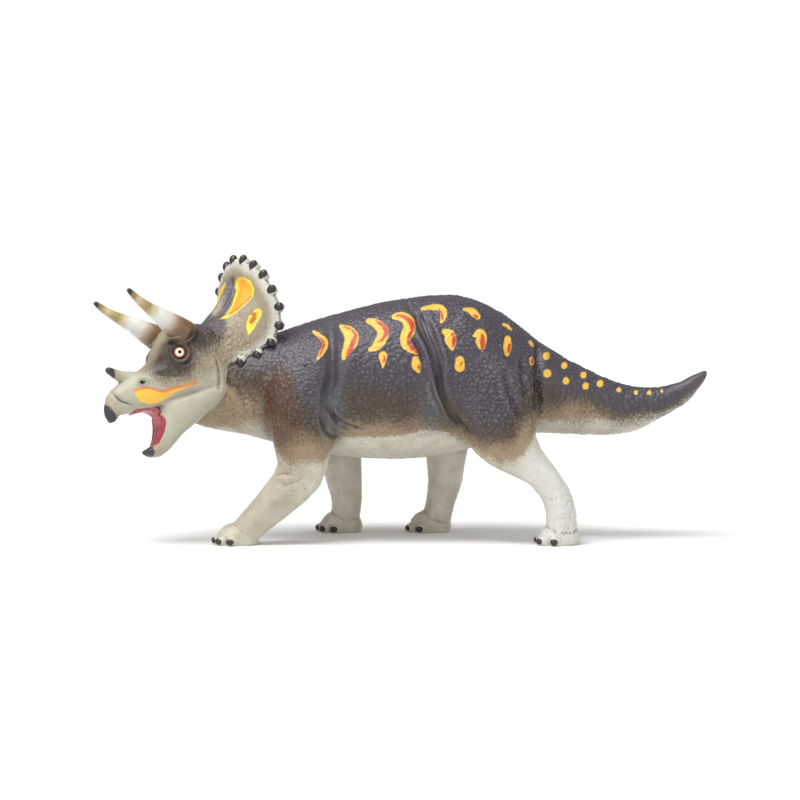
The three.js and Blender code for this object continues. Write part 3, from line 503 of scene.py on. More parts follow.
# Marks of the body
# Red-cored yellow flames run along each flank, and yellow dots along the tail. They are brushed on by hand;
# rows are x, z and half width in millimetres along each brush stroke.
MARKS = [
    {
        "yellow": [
            (-31.2, 75.8, 0.5), (-29.1, 74.6, 0.8), (-27.2, 72.8, 1.05), (-27.6, 70.4, 0.9),
            (-30, 66.9, 0.3),
        ],
        "red": [(-29.5, 74.6, 0.2), (-27.7, 72.6, 0.45), (-28.2, 70.1, 0.4), (-29.7, 67.6, 0.2)],
    },
    {
        "yellow": [
            (-21.4, 77.9, 0.7), (-18.8, 76.2, 1.9), (-17.6, 74.2, 2.5), (-18.6, 71.6, 2.2), (-20, 69, 1.4),
            (-20.5, 67.5, 0.7),
        ],
        "red": [
            (-20.4, 78, 0.25), (-17.8, 77, 0.4), (-16.2, 75.4, 0.6), (-17.2, 72.8, 0.9),
            (-18.2, 70.2, 1.0), (-19.4, 68, 0.4),
        ],
    },
    {
        "yellow": [
            (-11.7, 79.9, 0.8), (-8.9, 79.2, 1.5), (-6.4, 76.7, 1.9), (-7.1, 73.8, 1.9), (-9.2, 71.4, 1.6),
            (-10.9, 70.5, 0.8),
        ],
        "red": [
            (-8.9, 80.1, 0.3), (-6.1, 78.4, 0.7), (-5.2, 76.4, 1.0), (-6.6, 74.1, 0.6), (-7.7, 73.1, 0.3),
        ],
    },
    {
        "yellow": [
            (-2.4, 81.5, 0.9), (0.4, 81.5, 1.5), (2.7, 79.9, 2.0), (3, 77.4, 2.1), (1.8, 75, 2.0),
            (1.6, 72.7, 1.6), (2.9, 71.2, 1.2), (5.6, 69.4, 0.5),
        ],
        "red": [
            (-1.2, 81.8, 0.4), (1.6, 81.4, 0.6), (3.8, 79.4, 0.9), (4.1, 77.4, 0.8), (2.9, 75, 0.6),
            (2.9, 72.7, 0.7), (4.4, 70.9, 0.8), (6.3, 69.4, 0.3),
        ],
    },
    {
        "yellow": [(-6.4, 68.4, 1.5), (-6.4, 66.4, 1.0), (-6.4, 64.3, 0.3)],
        "red": [(-5.9, 68, 0.5), (-6.1, 66.1, 0.3)],
    },
    {
        "yellow": [(5.3, 67, 1.3), (5.6, 64.9, 1.6), (6.3, 63.1, 0.7)],
        "red": [(6.5, 65, 0.5), (6.5, 63.7, 0.4)],
    },
    {
        "yellow": [
            (7.7, 84.2, 0.5), (10.9, 84.7, 0.6), (14, 84.5, 0.9), (15.3, 83.3, 1.1), (15.1, 81.4, 1.2),
            (14.6, 80.1, 0.6),
        ],
        "red": [(13.9, 83.9, 0.3), (14.6, 82.8, 0.5), (14.9, 81.1, 0.5)],
    },
    {
        "yellow": [(15.6, 76.8, 0.9), (17.2, 75.7, 2.0), (18, 73.3, 1.9), (18.4, 70.9, 0.7)],
        "red": [(18.6, 75.7, 0.6), (19.1, 73.9, 0.8), (18.7, 71.8, 0.5)],
    },
    {"yellow": [(21.1, 66.7, 1.6), (21.1, 64.5, 1.8)], "red": [(21.8, 66, 0.4), (21.5, 64.8, 0.3)]},
    {
        "yellow": [(22.6, 84.1, 0.4), (24.9, 83.5, 0.8), (26.7, 82.3, 1.2), (27.7, 81.4, 0.9)],
        "red": [(26.4, 82, 0.4), (27.3, 81.4, 0.5)],
    },
    {
        "yellow": [(26.1, 75.2, 0.4), (28.1, 75.6, 1.9), (28.7, 73.7, 2.1), (28.9, 71.6, 1.3)],
        "red": [(29.2, 75.4, 0.5), (29.3, 73.4, 1.0), (29.2, 71.3, 0.8)],
    },
    {"yellow": [(36.8, 78.4, 0.4), (38.3, 77.6, 0.5), (39.7, 76.4, 0.3)]},
    {
        "yellow": [(38.3, 73.5, 1.1), (38.3, 71.2, 1.5), (38.1, 68.5, 0.8)],
        "red": [(39, 71.4, 0.7), (38.7, 69.4, 0.6)],
    },
    {"yellow": [(46.3, 71.9, 0.4), (47, 71.1, 0.5), (47.6, 70.3, 0.3)]},
    {"yellow": [(46.9, 66.3, 0.7), (47.1, 64.8, 0.8)], "red": [(47.1, 66.1, 0.45), (47.1, 65, 0.5)]},
]
TAIL_DOTS = [
    (52.3, 66.7, 1.25), (52.6, 60.9, 1.4), (58.7, 63.1, 1.1), (59.3, 58, 1.2), (65.6, 59.6, 1.1),
    (66.4, 55.9, 1.2), (71.6, 56.5, 1.2), (78.4, 54.1, 0.85), (84.5, 53.1, 0.75), (89.3, 53, 0.75),
    (93.8, 53.6, 0.5),
]

# Hand-painted vinyl
# Soft PVC, cast in cream, sprayed and brushed with matt paint and sealed with a thin satin varnish. The eye
# gets coats that thin out in specks, dark paint in the hollows, partly a wash and partly painted shade, pale
# paint on the scale tops, partly rubbed and partly a painted highlight, and a small glint on every scale.
SPECK_SCALE = 1100.0  # about one speck to a millimetre
PEBBLE_SCALE = 900.0  # 1.1 mm from pebble to pebble
PEBBLE_BEND = (0.0014,) * 3  # how far the specks bend the pebbles out of their even grid
PEBBLE_SLOPE = 0.22  # how much of a pebble slopes down to its edge
GRAIN_SCALE = 2500.0  # the matt grain of sprayed paint, 0.4 mm, coarser than real so that it shows
CLOUD_SCALE = 180.0  # patches of 6 mm, where a thin tan wash was wiped off the bare vinyl
CREAM = "#c9c5b6"
WIPED_TAN = "#9a9078"
# Dark paint in the hollows, deeper ones darker: partly a wash left there and partly painted shade.
WASH_AND_SHADE = "#241b15"
WASH_AND_SHADE_DEPTHS = (0.01, 0.2)  # millimetres under the skin where the dark wash and painted shade begin, and where all of them stay
# Pale grey on the tops of the scales: partly paint rubbed thin, partly a painted highlight for their glints.
RUBBED_AND_HIGHLIGHT = "#8a8084"
RUBBED_AND_HIGHLIGHT_DEPTHS = (-0.03, -0.2)  # the same for the tops of the scales, where the paint is rubbed thin and a highlight is painted
RUBBED_AND_HIGHLIGHT_COVER = 0.24
VARNISH_ROUGHNESS = 0.39
VINYL_IOR = 1.5
BODY_COATS = [
    # The first coat is a painted highlight on the hind shins.
    {"name": "shin_highlight", "colour": "#d9d9d3", "soft": 6.0, "specks": 4.0, "cover": 0.85},
    {"name": "tan_coat", "colour": "#907c5f", "soft": 2.2, "specks": 9.0, "cover": 0.95},
    # Partly brown paint on the legs, partly painted shade over the forearm and in the creases.
    {"name": "leg_brown_and_shade", "colour": "#7d6548", "soft": 5.5, "specks": 12.0, "cover": 0.42},
    {"name": "brown_coat", "colour": "#3f2f21", "soft": 4.5, "specks": 12.0, "cover": 0.97},
    {"name": "rust_coat", "colour": "#482809", "soft": 5.0, "specks": 9.0, "cover": 0.9},
    {"name": "dark_coat", "colour": "#413c45", "soft": 4.5, "specks": 14.0, "cover": 1.0},
    # A painted sheen on the smooth valleys behind the shoulder and before the thigh.
    {"name": "slate_sheen", "colour": "#4c4d50", "soft": 3.0, "specks": 3.0, "cover": 0.8},
]
BODY_MARKS = [
    {"name": "yellow_mark", "colour": "#e4b442", "soft": 0.25, "specks": 0.8, "cover": 1.0},
    {"name": "red_mark", "colour": "#b23324", "soft": 0.3, "specks": 1.4, "cover": 0.95},
]


def new_material(name, roughness):
    """A material as rough as this, with its node tree and its shader."""
    material = bpy.data.materials.new(name)
    material.use_nodes = True
    shell = material.node_tree.nodes["Principled BSDF"]
    shell.inputs["Roughness"].default_value = roughness
    return material, material.node_tree, shell


def lay_coats(tree, speck, under, coats):
    """Lays coats over a colour, one over the other. Each is as wide as a piece stores at its points."""
    colour = under
    for coat in coats:
        stored = add_node(tree, "ShaderNodeAttribute", attribute_name=coat["name"])
        specked = add_node(
            tree,
            "ShaderNodeMath",
            {0: speck, 1: coat["specks"], 2: stored.outputs["Fac"]},
            operation="MULTIPLY_ADD",
        )
        begins = coat["specks"] / 2 - coat["soft"]
        full = coat["specks"] / 2 + coat["soft"]
        cover = add_node(
            tree,
            "ShaderNodeMapRange",
            {"Value": specked.outputs[0], 1: begins, 2: full, 4: coat["cover"]},
            interpolation_type="SMOOTHSTEP",
        )
        mixed = add_node(
            tree,
            "ShaderNodeMix",
            {0: cover.outputs[0], 6: colour, 7: linear(coat["colour"])},
            data_type="RGBA",
        )
        colour = mixed.outputs[2]
    return colour


def painted_vinyl(name, cast, coats, wash_and_shade_cover, marks):
    """Cast vinyl with airbrushed coats, a dark wash and painted shade kept in the hollows, rubbed paint and
    a painted highlight on the scale tops, and brushed marks.
    """
    paint, tree, shell = new_material(name, VARNISH_ROUGHNESS)
    shell.inputs["IOR"].default_value = VINYL_IOR
    where = add_node(tree, "ShaderNodeTexCoord").outputs["Object"]
    speck = add_node(
        tree,
        "ShaderNodeTexNoise",
        {"Vector": where, "Scale": SPECK_SCALE, "Detail": 3.0, "Roughness": 0.7},
    )
    bent = add_node(
        tree,
        "ShaderNodeVectorMath",
        {0: speck.outputs["Color"], 1: PEBBLE_BEND, 2: where},
        operation="MULTIPLY_ADD",
    )
    pebbles = add_node(
        tree,
        "ShaderNodeTexVoronoi",
        {"Vector": bent.outputs[0], "Scale": PEBBLE_SCALE},
        feature="DISTANCE_TO_EDGE",
    )
    pebble_top = add_node(
        tree,
        "ShaderNodeMapRange",
        {"Value": pebbles.outputs["Distance"], 1: 0.0, 2: PEBBLE_SLOPE},
    )
    grain = add_node(tree, "ShaderNodeTexNoise", {"Vector": where, "Scale": GRAIN_SCALE, "Detail": 2.0})
    cloud = add_node(
        tree,
        "ShaderNodeTexNoise",
        {"Vector": where, "Scale": CLOUD_SCALE, "Detail": 4.0, "Roughness": 0.6},
    )
    cloudy = add_node(tree, "ShaderNodeMapRange", {"Value": cloud.outputs["Fac"], 1: 0.4, 2: 0.75, 4: 0.5})
    dusted = add_node(
        tree,
        "ShaderNodeMix",
        {0: cloudy.outputs[0], 6: linear(cast), 7: linear(WIPED_TAN)},
        data_type="RGBA",
    )
    sprayed = lay_coats(tree, speck.outputs["Fac"], dusted.outputs[2], coats)
    hollow = add_node(tree, "ShaderNodeAttribute", attribute_name="wash_and_shade").outputs["Fac"]
    # Over the coats go the wash and painted shade in the hollows, then rubbed paint and painted highlight on
    # the tops.
    wash_shade_and_highlight = ((WASH_AND_SHADE_DEPTHS, wash_and_shade_cover, WASH_AND_SHADE), (RUBBED_AND_HIGHLIGHT_DEPTHS, RUBBED_AND_HIGHLIGHT_COVER, RUBBED_AND_HIGHLIGHT))
    for (begins, full), most, colour in wash_shade_and_highlight:
        cover = add_node(tree, "ShaderNodeMapRange", {"Value": hollow, 1: begins, 2: full, 4: most})
        mixed = add_node(
            tree,
            "ShaderNodeMix",
            {0: cover.outputs[0], 6: sprayed, 7: linear(colour)},
            data_type="RGBA",
        )
        sprayed = mixed.outputs[2]
    shown = lay_coats(tree, speck.outputs["Fac"], sprayed, marks)
    tree.links.new(shown, shell.inputs["Base Color"])
    pebbled = add_node(
        tree,
        "ShaderNodeBump",
        {"Height": pebble_top.outputs[0], "Distance": 0.0003, "Strength": 0.22},
    )
    grained = add_node(
        tree,
        "ShaderNodeBump",
        {"Height": grain.outputs["Fac"], "Distance": 0.00006, "Strength": 0.6, "Normal": pebbled.outputs[0]},
    )
    tree.links.new(grained.outputs[0], shell.inputs["Normal"])
    return paint


body_paint = painted_vinyl("hand_painted_vinyl", CREAM, BODY_COATS, wash_and_shade_cover=0.65, marks=BODY_MARKS)

# Cutting the clay into mouldings
# The tail is cut off in its groove and each leg inside its hip or shoulder, as the real mouldings part. The
# walls of a cut lie hidden in the joint and stay bare vinyl.
TAIL_CUT = 49.2
REAR_BLOCK = [(TAIL_CUT, -60, 0), (140, 60, 120)]  # from the cut to well beyond the tail
CUT_ROOM = 1.1  # how far the skin of a leg may stand out of its solid
bare, _, shell = new_material("bare_vinyl", 0.55)
shell.inputs["Base Color"].default_value = linear(CREAM)
body.data.materials.clear()
body.data.materials.append(body_paint)


def block(name, low, high):
    """A plain block between two corners, in millimetres, to cut with."""
    low, high = Vector(low) * MM, Vector(high) * MM
    bpy.ops.mesh.primitive_cube_add(size=1)
    cube = bpy.context.object
    cube.name = name
    cube.data.transform(Matrix.Translation((low + high) / 2) @ Matrix.Diagonal((*(high - low), 1)))
    return cube


def cut(piece, cutter, operation):
    """Joins a piece with a cutter by a boolean. The walls it leaves get the cutter's material."""
    change(piece, "BOOLEAN", object=cutter, operation=operation, solver="MANIFOLD", material_mode="TRANSFER")


def copy_of(piece, name):
    """Another object with its own copy of a mesh."""
    new = bpy.data.objects.new(name, piece.data.copy())
    new.data.name = name
    bpy.context.scene.collection.objects.link(new)
    return new


def finish_shading(piece):
    """Makes the faces of a piece smooth, with a crisp edge all along the walls of a cut."""
    bm = bmesh.new()
    bm.from_mesh(piece.data)
    for face in bm.faces:
        face.smooth = True
    for edge in bm.edges:
        edge.smooth = len({face.material_index for face in edge.link_faces}) == 1
    bm.to_mesh(piece.data)
    bm.free()


leg_cutters = {}
for name in BODY_NODES[2:]:
    cutter = blank_of(name, CUT_ROOM)
    cutter.data.materials.append(bare)
    leg_cutters[name] = cutter
rear = block("rear_block", *REAR_BLOCK)
rear.data.materials.append(bare)
body_pieces = []
for name in BODY_NODES[1:]:
    piece = copy_of(body, name + "_skin")
    cut(piece, rear if name == "tail" else leg_cutters[name], "INTERSECT")
    if name == "tail":
        cut(piece, leg_cutters["hind_leg_left"], "DIFFERENCE")
    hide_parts(name)
    body_pieces.append(piece)
trunk = copy_of(body, "trunk_skin")
for cutter in [rear, *leg_cutters.values()]:
    cut(trunk, cutter, "DIFFERENCE")
    bpy.data.objects.remove(cutter)
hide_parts("trunk")
bpy.data.objects.remove(body)
for piece in [trunk, *body_pieces]:
    paint_body(piece)
    finish_shading(piece)
    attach(piece, "root")

# Toenails
# Every foot has blunt nails, moulded on its toes and painted a glossy black with a brush. A fore foot has
# five and a hind foot four.
FEET_MIDDLE = 1.69  # half way between the left and the right feet, across
STANCE_Y = 20.4  # from there to the middle of a foot
FOOT_X = {"front_leg_left": -58.4, "front_leg_right": -21.4, "hind_leg_left": 57.0, "hind_leg_right": 10.8}
TOE_DEGREES = {"front": [-70, -35, 0, 35, 70], "hind": [-60, -15, 30, 75]}
TOE_REACH = (8.35, 7.1)  # from the middle of a foot to the tip of a toe, along and across
NAIL_SIZES = (1.25, 1.5, 1.2)  # half sizes outwards, across and up
NAIL_HEIGHT = 1.5  # from the table to the middle of a nail

black_paint, tree, shell = new_material("black_nail_paint", 0.28)
where = add_node(tree, "ShaderNodeTexCoord").outputs["Object"]
streaks = add_node(tree, "ShaderNodeTexNoise", {"Vector": where, "Scale": 1400.0, "Detail": 3.0})
streak = streaks.outputs["Fac"]
shades = add_node(
    tree,
    "ShaderNodeMix",
    {0: streak, 6: linear("#1c1817"), 7: linear("#3b3433")},
    data_type="RGBA",
)
brushed = add_node(tree, "ShaderNodeBump", {"Height": streak, "Distance": 0.00015, "Strength": 0.7})
tree.links.new(shades.outputs[2], shell.inputs["Base Color"])
tree.links.new(brushed.outputs[0], shell.inputs["Normal"])


def ball(name, middle, sizes, axes=None, fineness=(20, 14)):
    """A ball with its own half size along each of its axes, in millimetres."""
    bpy.ops.mesh.primitive_uv_sphere_add(segments=fineness[0], ring_count=fineness[1], radius=1)
    piece = bpy.context.object
    piece.name = name
    turn = Matrix(np.eye(3).tolist() if axes is None else np.array(axes).T.tolist()).to_4x4()
    stretch = Matrix.Diagonal((*(Vector(sizes) * MM), 1))
    piece.data.transform(Matrix.Translation(Vector(middle) * MM) @ turn @ stretch)
    bpy.ops.object.shade_smooth()
    return piece


for leg, foot_x in FOOT_X.items():
    side = -1 if leg.endswith("left") else 1
    nails = []
    for degrees in TOE_DEGREES[leg.split("_")[0]]:
        angle = math.radians(degrees)
        outward = Vector((-math.cos(angle), side * math.sin(angle), 0))
        tip_x = foot_x + outward.x * TOE_REACH[0]
        tip_y = FEET_MIDDLE + side * STANCE_Y + outward.y * TOE_REACH[1]
        axes = [outward, Vector((-outward.y, outward.x, 0)), (0, 0, 1)]
        nails.append(ball(leg + "_nail", (tip_x, tip_y, NAIL_HEIGHT), NAIL_SIZES, axes))
    nails = joined(leg + "_nails", nails)
    nails.data.materials.append(black_paint)
    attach(nails, "root")

# Head blank
# Skull, frill, cheeks and lower jaw are modelled as one clay as well, and parted along the lips afterwards.
# The head turns and leans, so it is shaped in its own frame: forward, to its left and up from the crown.
HEAD_GRAIN = 0.4
HEAD_EVEN_TURNS = {"soft_parts": 34, "all": 3}
CROWN = np.array([-68.76, -0.29, 77.84])
HEAD_TURN = Matrix.Rotation(math.radians(28), 3, "Z")  # towards the viewer
HEAD_LEAN = Matrix.Rotation(math.radians(-15), 3, "X")
HEAD_AXES = np.array(HEAD_TURN @ HEAD_LEAN) @ np.diag([-1, -1, 1])
BROW_BOSS = {"place": (15.6, 8.4, -4.2), "sizes": (5.6, 4.9, 5.0)}  # the swelling under each brow horn
FRILL_MIDDLE_UP = 2  # the middle of the frill's disc, over the crown
FRILL_HALF_SIZES = (20.4, 21.5)  # out and up


def on_head(at):
    """Places on the head, forward, left and up from the crown, of places in the world."""
    return (at - CROWN) @ HEAD_AXES


def in_world(spot):
    """The place in the world of a place on the head."""
    return Vector(HEAD_AXES @ np.array(spot, float) + CROWN)


def on_side(spots, side):
    """Places on the left side of the head as they are, for side 1, or mirrored to the right, for side -1."""
    return np.array(spots) * np.array([1, side, 1])


blanks = [blank_of("head", SEAM_FILL), blank_of("lower_jaw", SEAM_FILL)]
for side in (1, -1):
    middle = in_world(on_side(BROW_BOSS["place"], side))
    blanks.append(ball("brow_boss", middle, BROW_BOSS["sizes"], HEAD_AXES.T))
head_clay = joined("head_clay", blanks)
head_clay.data.remesh_voxel_size = HEAD_GRAIN * MM
select_only(head_clay)
bpy.ops.object.voxel_remesh()
forward, across, up = on_head(places(head_clay)).T
# The tips of beak, chin and nose horn and the rim of the frill stay crisp.
beak_end = rise(forward, 38, 42) * rise(-up, 20, 26)
chin_end = rise(forward, 24, 28) * rise(-up, 40, 43)
nose_end = rise(forward, 36, 39) * rise(up, -22, -19)
out_share = np.hypot(across / FRILL_HALF_SIZES[0], (up - FRILL_MIDDLE_UP) / FRILL_HALF_SIZES[1])
rim_share = rise(out_share, 0.8, 0.92) * rise(-forward, 0, 4)
crisp = np.maximum.reduce([beak_end, chin_end, nose_end, rim_share])
relax(head_clay, 1 - crisp, HEAD_EVEN_TURNS["soft_parts"])
relax(head_clay, np.ones(len(crisp)), HEAD_EVEN_TURNS["all"])

# Face and frill
# The brows, eyelids, nostrils, beak and wrinkles are carved into the clay. Rows are forward, out and up from
# the crown in millimetres, the same on both sides.
FACE_FOLDS = [
    {
        "path": [(20.7, 4.2, -6.6), (19.8, 9.8, -7.2), (16.6, 12.6, -6.8), (12.6, 13, -4.5)],
        "width": 0.7, "depth": 0.8, "lip": 0.5,
    },
    {
        "path": [(15, 12.6, -8.4), (12.6, 12.6, -9.6), (10.8, 12.8, -12.6)],
        "width": 0.6, "depth": 0.5, "lip": 0.3,
    },
    {
        "path": [(14.4, 12, -13.6), (16.4, 11.4, -15.2), (19.4, 10.4, -15.6)],
        "width": 0.5, "depth": 0.5, "lip": 0.3,
    },
    {
        "path": [(43.4, 0, -22.5), (42.7, 2.9, -25), (41.2, 3.9, -27), (39, 4.4, -28), (36.2, 4.4, -29.2)],
        "width": 0.6, "depth": 0.7, "lip": 0.35,
    },
    {
        "path": [(36, 5, -28.4), (34.2, 5.3, -28.9), (30.7, 4.8, -29.9), (27.3, 5, -29.4), (23.7, 6.2, -28)],
        "width": 0.5, "depth": 0.4, "lip": 0.25,
    },
    {
        "path": [(6.2, 13, -14), (5.4, 12.8, -18), (5, 12.4, -23), (6, 12, -27)],
        "width": 0.7, "depth": 0.6, "lip": 0.3,
    },
    {
        "path": [(2, 2.2, -0.6), (-3.5, 2.4, 4.5), (-8, 2.4, 11.4), (-11, 2.2, 17)],
        "width": 0.7, "depth": 0.6, "lip": 0.3,
    },
    {
        "path": [(0, 4.6, 0.6), (-4.6, 4.4, 5), (-9, 4, 12), (-11.6, 3.8, 17)],
        "width": 0.6, "depth": 0.4, "lip": 0.2,
    },
    {
        "path": [(30, 6.4, -17.5), (27, 7.4, -18.5), (23, 9, -19.5), (18, 10.6, -20)],
        "width": 0.9, "depth": 0.4, "lip": 0.2,
    },
]
MIDDLE_RIDGE = [(3, 0, -1), (-0.3, 0, 1.5), (-3.5, 0, 4.5), (-5.9, 0, 7.8), (-8.2, 0, 11.4), (-10.8, 0, 17)]
RIDGE_SIZE = {"height": 0.6, "width": 1.2}
BROW_PLACE = (22.8, 7.2, -10.2)
BROW_SIZE = {"height": 1.1, "width": 2.6}
EYE_PLACE = (18.7, 9.7, -11.6)
EYE_RADIUS = 2.3
EYELID_OUT = 1  # the lids stand round a middle that lies further out than the eye's
EYELID_RADIUS = 3.0
EYELID_SIZE = {"height": 0.9, "width": 0.75}
EYE_SOCKET = {"height": 0.8, "width": 2.0, "power": 4}
NOSTRIL_PLACE = (32.5, 5.6, -20.8)
NOSTRIL_SHAPE = (0.8, 0.4, 1.15)  # distances from its middle count by this much, so that it is a lying oval
NOSTRIL_RIM_RADIUS = 1.3
NOSTRIL_RIM = {"height": 0.45, "width": 0.5}
NOSTRIL_HOLE = {"height": 1.1, "width": 0.75, "power": 4}
WINDOW_DEPTH = 0.4
SCOOP_DEPTH = 1.5  # each half of the frill is dished beside the middle ridge
FACE_WRINKLE_PITCH = 1.5
FACE_WRINKLE_HEIGHTS = {"all_over": 0.12, "temple": 0.4, "cheek": 0.12}
FRILL_WINDOWS = {  # outlines on each half of the frill, as seen from the front: out and up from the crown
    "big": [
        (3.4, 14.7), (6, 15.5), (9.6, 14.6), (13.2, 12.6), (14.9, 9.6), (14.6, 6.7), (13.2, 4.2), (11.5, 2.2),
        (9.5, 0.2), (6.2, 0.4), (5.6, 3.4), (5.7, 5.6), (4.6, 9.2), (3.2, 12),
    ],
    "small": [
        (15.8, 1.9), (16.7, 2.2), (17.3, 1.1), (17.1, -1.1), (16.4, -3), (15.6, -5.4), (14.8, -7.2),
        (14.2, -5.1), (14.2, -2.6), (14.6, -0.4),
    ],
}


def inside_of(spots, outline):
    """How far each spot lies inside a closed outline, in millimetres, and less than 0 outside it."""
    corners = np.array([*outline, outline[0]], float)
    far, _ = near_path(spots, corners)
    inside = np.zeros(len(spots), bool)
    for (ax, ay), (bx, by) in zip(corners, corners[1:]):
        level = (ay > spots[:, 1]) != (by > spots[:, 1])
        if by != ay:
            inside ^= level & (spots[:, 0] < ax + (spots[:, 1] - ay) * (bx - ax) / (by - ay))
    return np.where(inside, far, -far)


def both_sides(at):
    """Places on the head, all brought over to its left side."""
    return at * np.sign(at[:, 1:2]) ** np.array([0, 1, 0])


def away_from(at, middle, shape=(1, 1, 1)):
    """How far each place lies from a middle, each axis counted by its own share."""
    return np.linalg.norm((at - np.array(middle)) * np.array(shape), axis=1)


at = on_head(places(head_clay))
out = facings(head_clay) @ HEAD_AXES
mirrored = both_sides(at)
forward, across, up = mirrored.T
heights = np.zeros(len(at))
for fold in FACE_FOLDS:
    heights += fold_heights(mirrored, fold)
heights += swelling(gap_to(mirrored, MIDDLE_RIDGE), **RIDGE_SIZE) * rise(out[:, 0], 0, 0.3)
heights += swelling(away_from(mirrored, BROW_PLACE), **BROW_SIZE)
eye_gap = away_from(mirrored - np.array([0, EYELID_OUT, 0]), EYE_PLACE)
heights += swelling(eye_gap - EYELID_RADIUS, **EYELID_SIZE) - swelling(eye_gap, **EYE_SOCKET)
nostril_gap = away_from(mirrored, NOSTRIL_PLACE, NOSTRIL_SHAPE)
heights += swelling(nostril_gap - NOSTRIL_RIM_RADIUS, **NOSTRIL_RIM) - swelling(nostril_gap, **NOSTRIL_HOLE)
front_of_frill = rise(out[:, 0], 0.05, 0.3) * rise(-forward, -4, 0) * rise(up, -12, -9)
windows = np.maximum(*(inside_of(mirrored[:, 1:], outline) for outline in FRILL_WINDOWS.values()))
heights -= WINDOW_DEPTH * front_of_frill * rise(windows, -0.3, 0.5)
scoop = rise(across, 1.4, 4) * rise(11 - across, 0, 5) * rise(up, -1, 4) * rise(17 - up, 0, 5)
heights -= SCOOP_DEPTH * front_of_frill * scoop
wrinkled = (
    FACE_WRINKLE_HEIGHTS["all_over"]
    + FACE_WRINKLE_HEIGHTS["temple"] * np.exp(-(forward**2 + (up + 9) ** 2) / 90) * rise(across, 6, 9)
    + FACE_WRINKLE_HEIGHTS["cheek"] * np.exp(-((forward - 12) ** 2 + (up + 14) ** 2) / 60)
)
smooth_beak = np.maximum(rise(forward, 33, 38), rise(-up, 22, 30) * rise(forward, 8, 14))
wrinkles = scales(at, FACE_WRINKLE_PITCH, seed=21, stretch=(0.85, 0.85, 1.9)) - 0.7
heights += wrinkled * (1 - smooth_beak) * (1 - rise(windows, -1, 0) * front_of_frill) * wrinkles
heights += 0.12 * rough(at, 5, seed=22) * (1 - smooth_beak)
push(head_clay, heights)

# Paint of the head
# The face is sprayed taupe over cream, dark brown round the eyes and up the brows, with yellow and orange
# windows on the frill, a yellow lip, and dark tips on beak and nose horn. Rows of two are forward and up.
CHEEK_LINE = [(-9, -17), (3, -17.5), (10, -20.5), (16, -22), (24, -22), (30, -20), (36, -19), (46, -19)]
TAUPE_END = 31  # the taupe stops here before the beak
EYE_SHADES = [  # the middle and the radius of each puff of brown
    ((19.6, 10.2, -13), 7.3), ((23.6, 7.6, -15), 5.8), ((13, 12.2, -7), 5.4), ((8, 9.6, -4.6), 5.6),
    ((16, 12, -4), 4.4), ((4, 10, -4), 4.4), ((9.5, 11.5, -8.5), 4.2),
]
CROWN_SHADES = [((3, 1, 0), 5.2), ((7, 6, -2), 4.2), ((1, 8, -2), 3.6)]
RIM = [
    (-13.4, 0, 21.5), (-13.7, 5, 20.8), (-14.3, 10.2, 18.5), (-15, 15.8, 15), (-16.1, 19.3, 8.9),
    (-17.7, 20.4, 3.2), (-18.1, 19.9, -3), (-15.9, 17.6, -9.2), (-10.7, 14.5, -13.7), (-4.6, 12.2, -15.8),
]
RIM_PAINT_WIDTH = 3.1
RIDGE_SHADE_STRIPE = [(4.8, -0.5), (4.1, 4.5), (3.2, 8.3), (1.8, 12), (1.7, 15)]  # out and up, on the frill: painted shade beside the middle ridge, where each half dips
STRIPE_WIDTH = 1.5  # half of it, as in the widths below
ORANGE_INSETS = {"big": 0.9, "small": 0.75}  # how much smaller the orange is than the lemon yellow under it
RUST_STROKE = [(13.7, 7), (12.4, 4.9), (10.6, 3), (8.8, 1.7)]  # out and up, on the big window
RUST_STROKE_WIDTH = 0.35
RUST_DAB = [(15.6, 0.4), (15.4, -1.4), (15.1, -2.6)]  # the same on the small window
RUST_DAB_WIDTH = 0.5
LIP_TOP = [(35.9, -23.4), (31.3, -23), (26.3, -24.7), (22, -24), (17.9, -23.4), (13.6, -22.7)]
LIP_UNDER = [
    (16.5, -24.1), (20.8, -25.3), (23.7, -27.2), (27.3, -28.6), (30.7, -28.9), (34.5, -27.8), (36.2, -24.6),
]
LIP_EDGE_WIDTH = 0.48
NOSTRIL_PAINT = {"nostril_ring": 1.9, "nostril_slit": 0.75}  # radii
BEAK_TIP_LINE = np.array([(45.7, -27.6), (43.7, -31.0)])
BEAK_TIP_TOP = -20
CHIN_TIP = (29.9, -41)  # where the dark of the chin begins, and its top
NOSE_TIP = (41.0, -19.5)  # where the dark of the nose horn begins, and its foot
OLIVE_BAND = 1.9  # how far the olive reaches behind the dark tips
MOUTH_EDGE = [
    (35.4, -31.5), (32.7, -31), (29.4, -30.7), (26.7, -32.4), (25.4, -35.3), (26, -38.4), (27.1, -41.3),
    (28.1, -43.2),
]
MOUTH_RED_WIDTH = 0.45
FACE_CAST = "#aba896"  # the head is cast greyer than the body
HEAD_COATS = [
    {"name": "taupe_coat", "colour": "#94866f", "soft": 3.0, "specks": 8.0, "cover": 0.92},
    {"name": "rim_coat", "colour": "#cfccc2", "soft": 1.5, "specks": 2.5, "cover": 0.85},
    {"name": "brown_coat", "colour": "#33241a", "soft": 3.2, "specks": 7.0, "cover": 0.95},
    {"name": "dark_coat", "colour": "#463f47", "soft": 1.1, "specks": 3.5, "cover": 0.92},
]
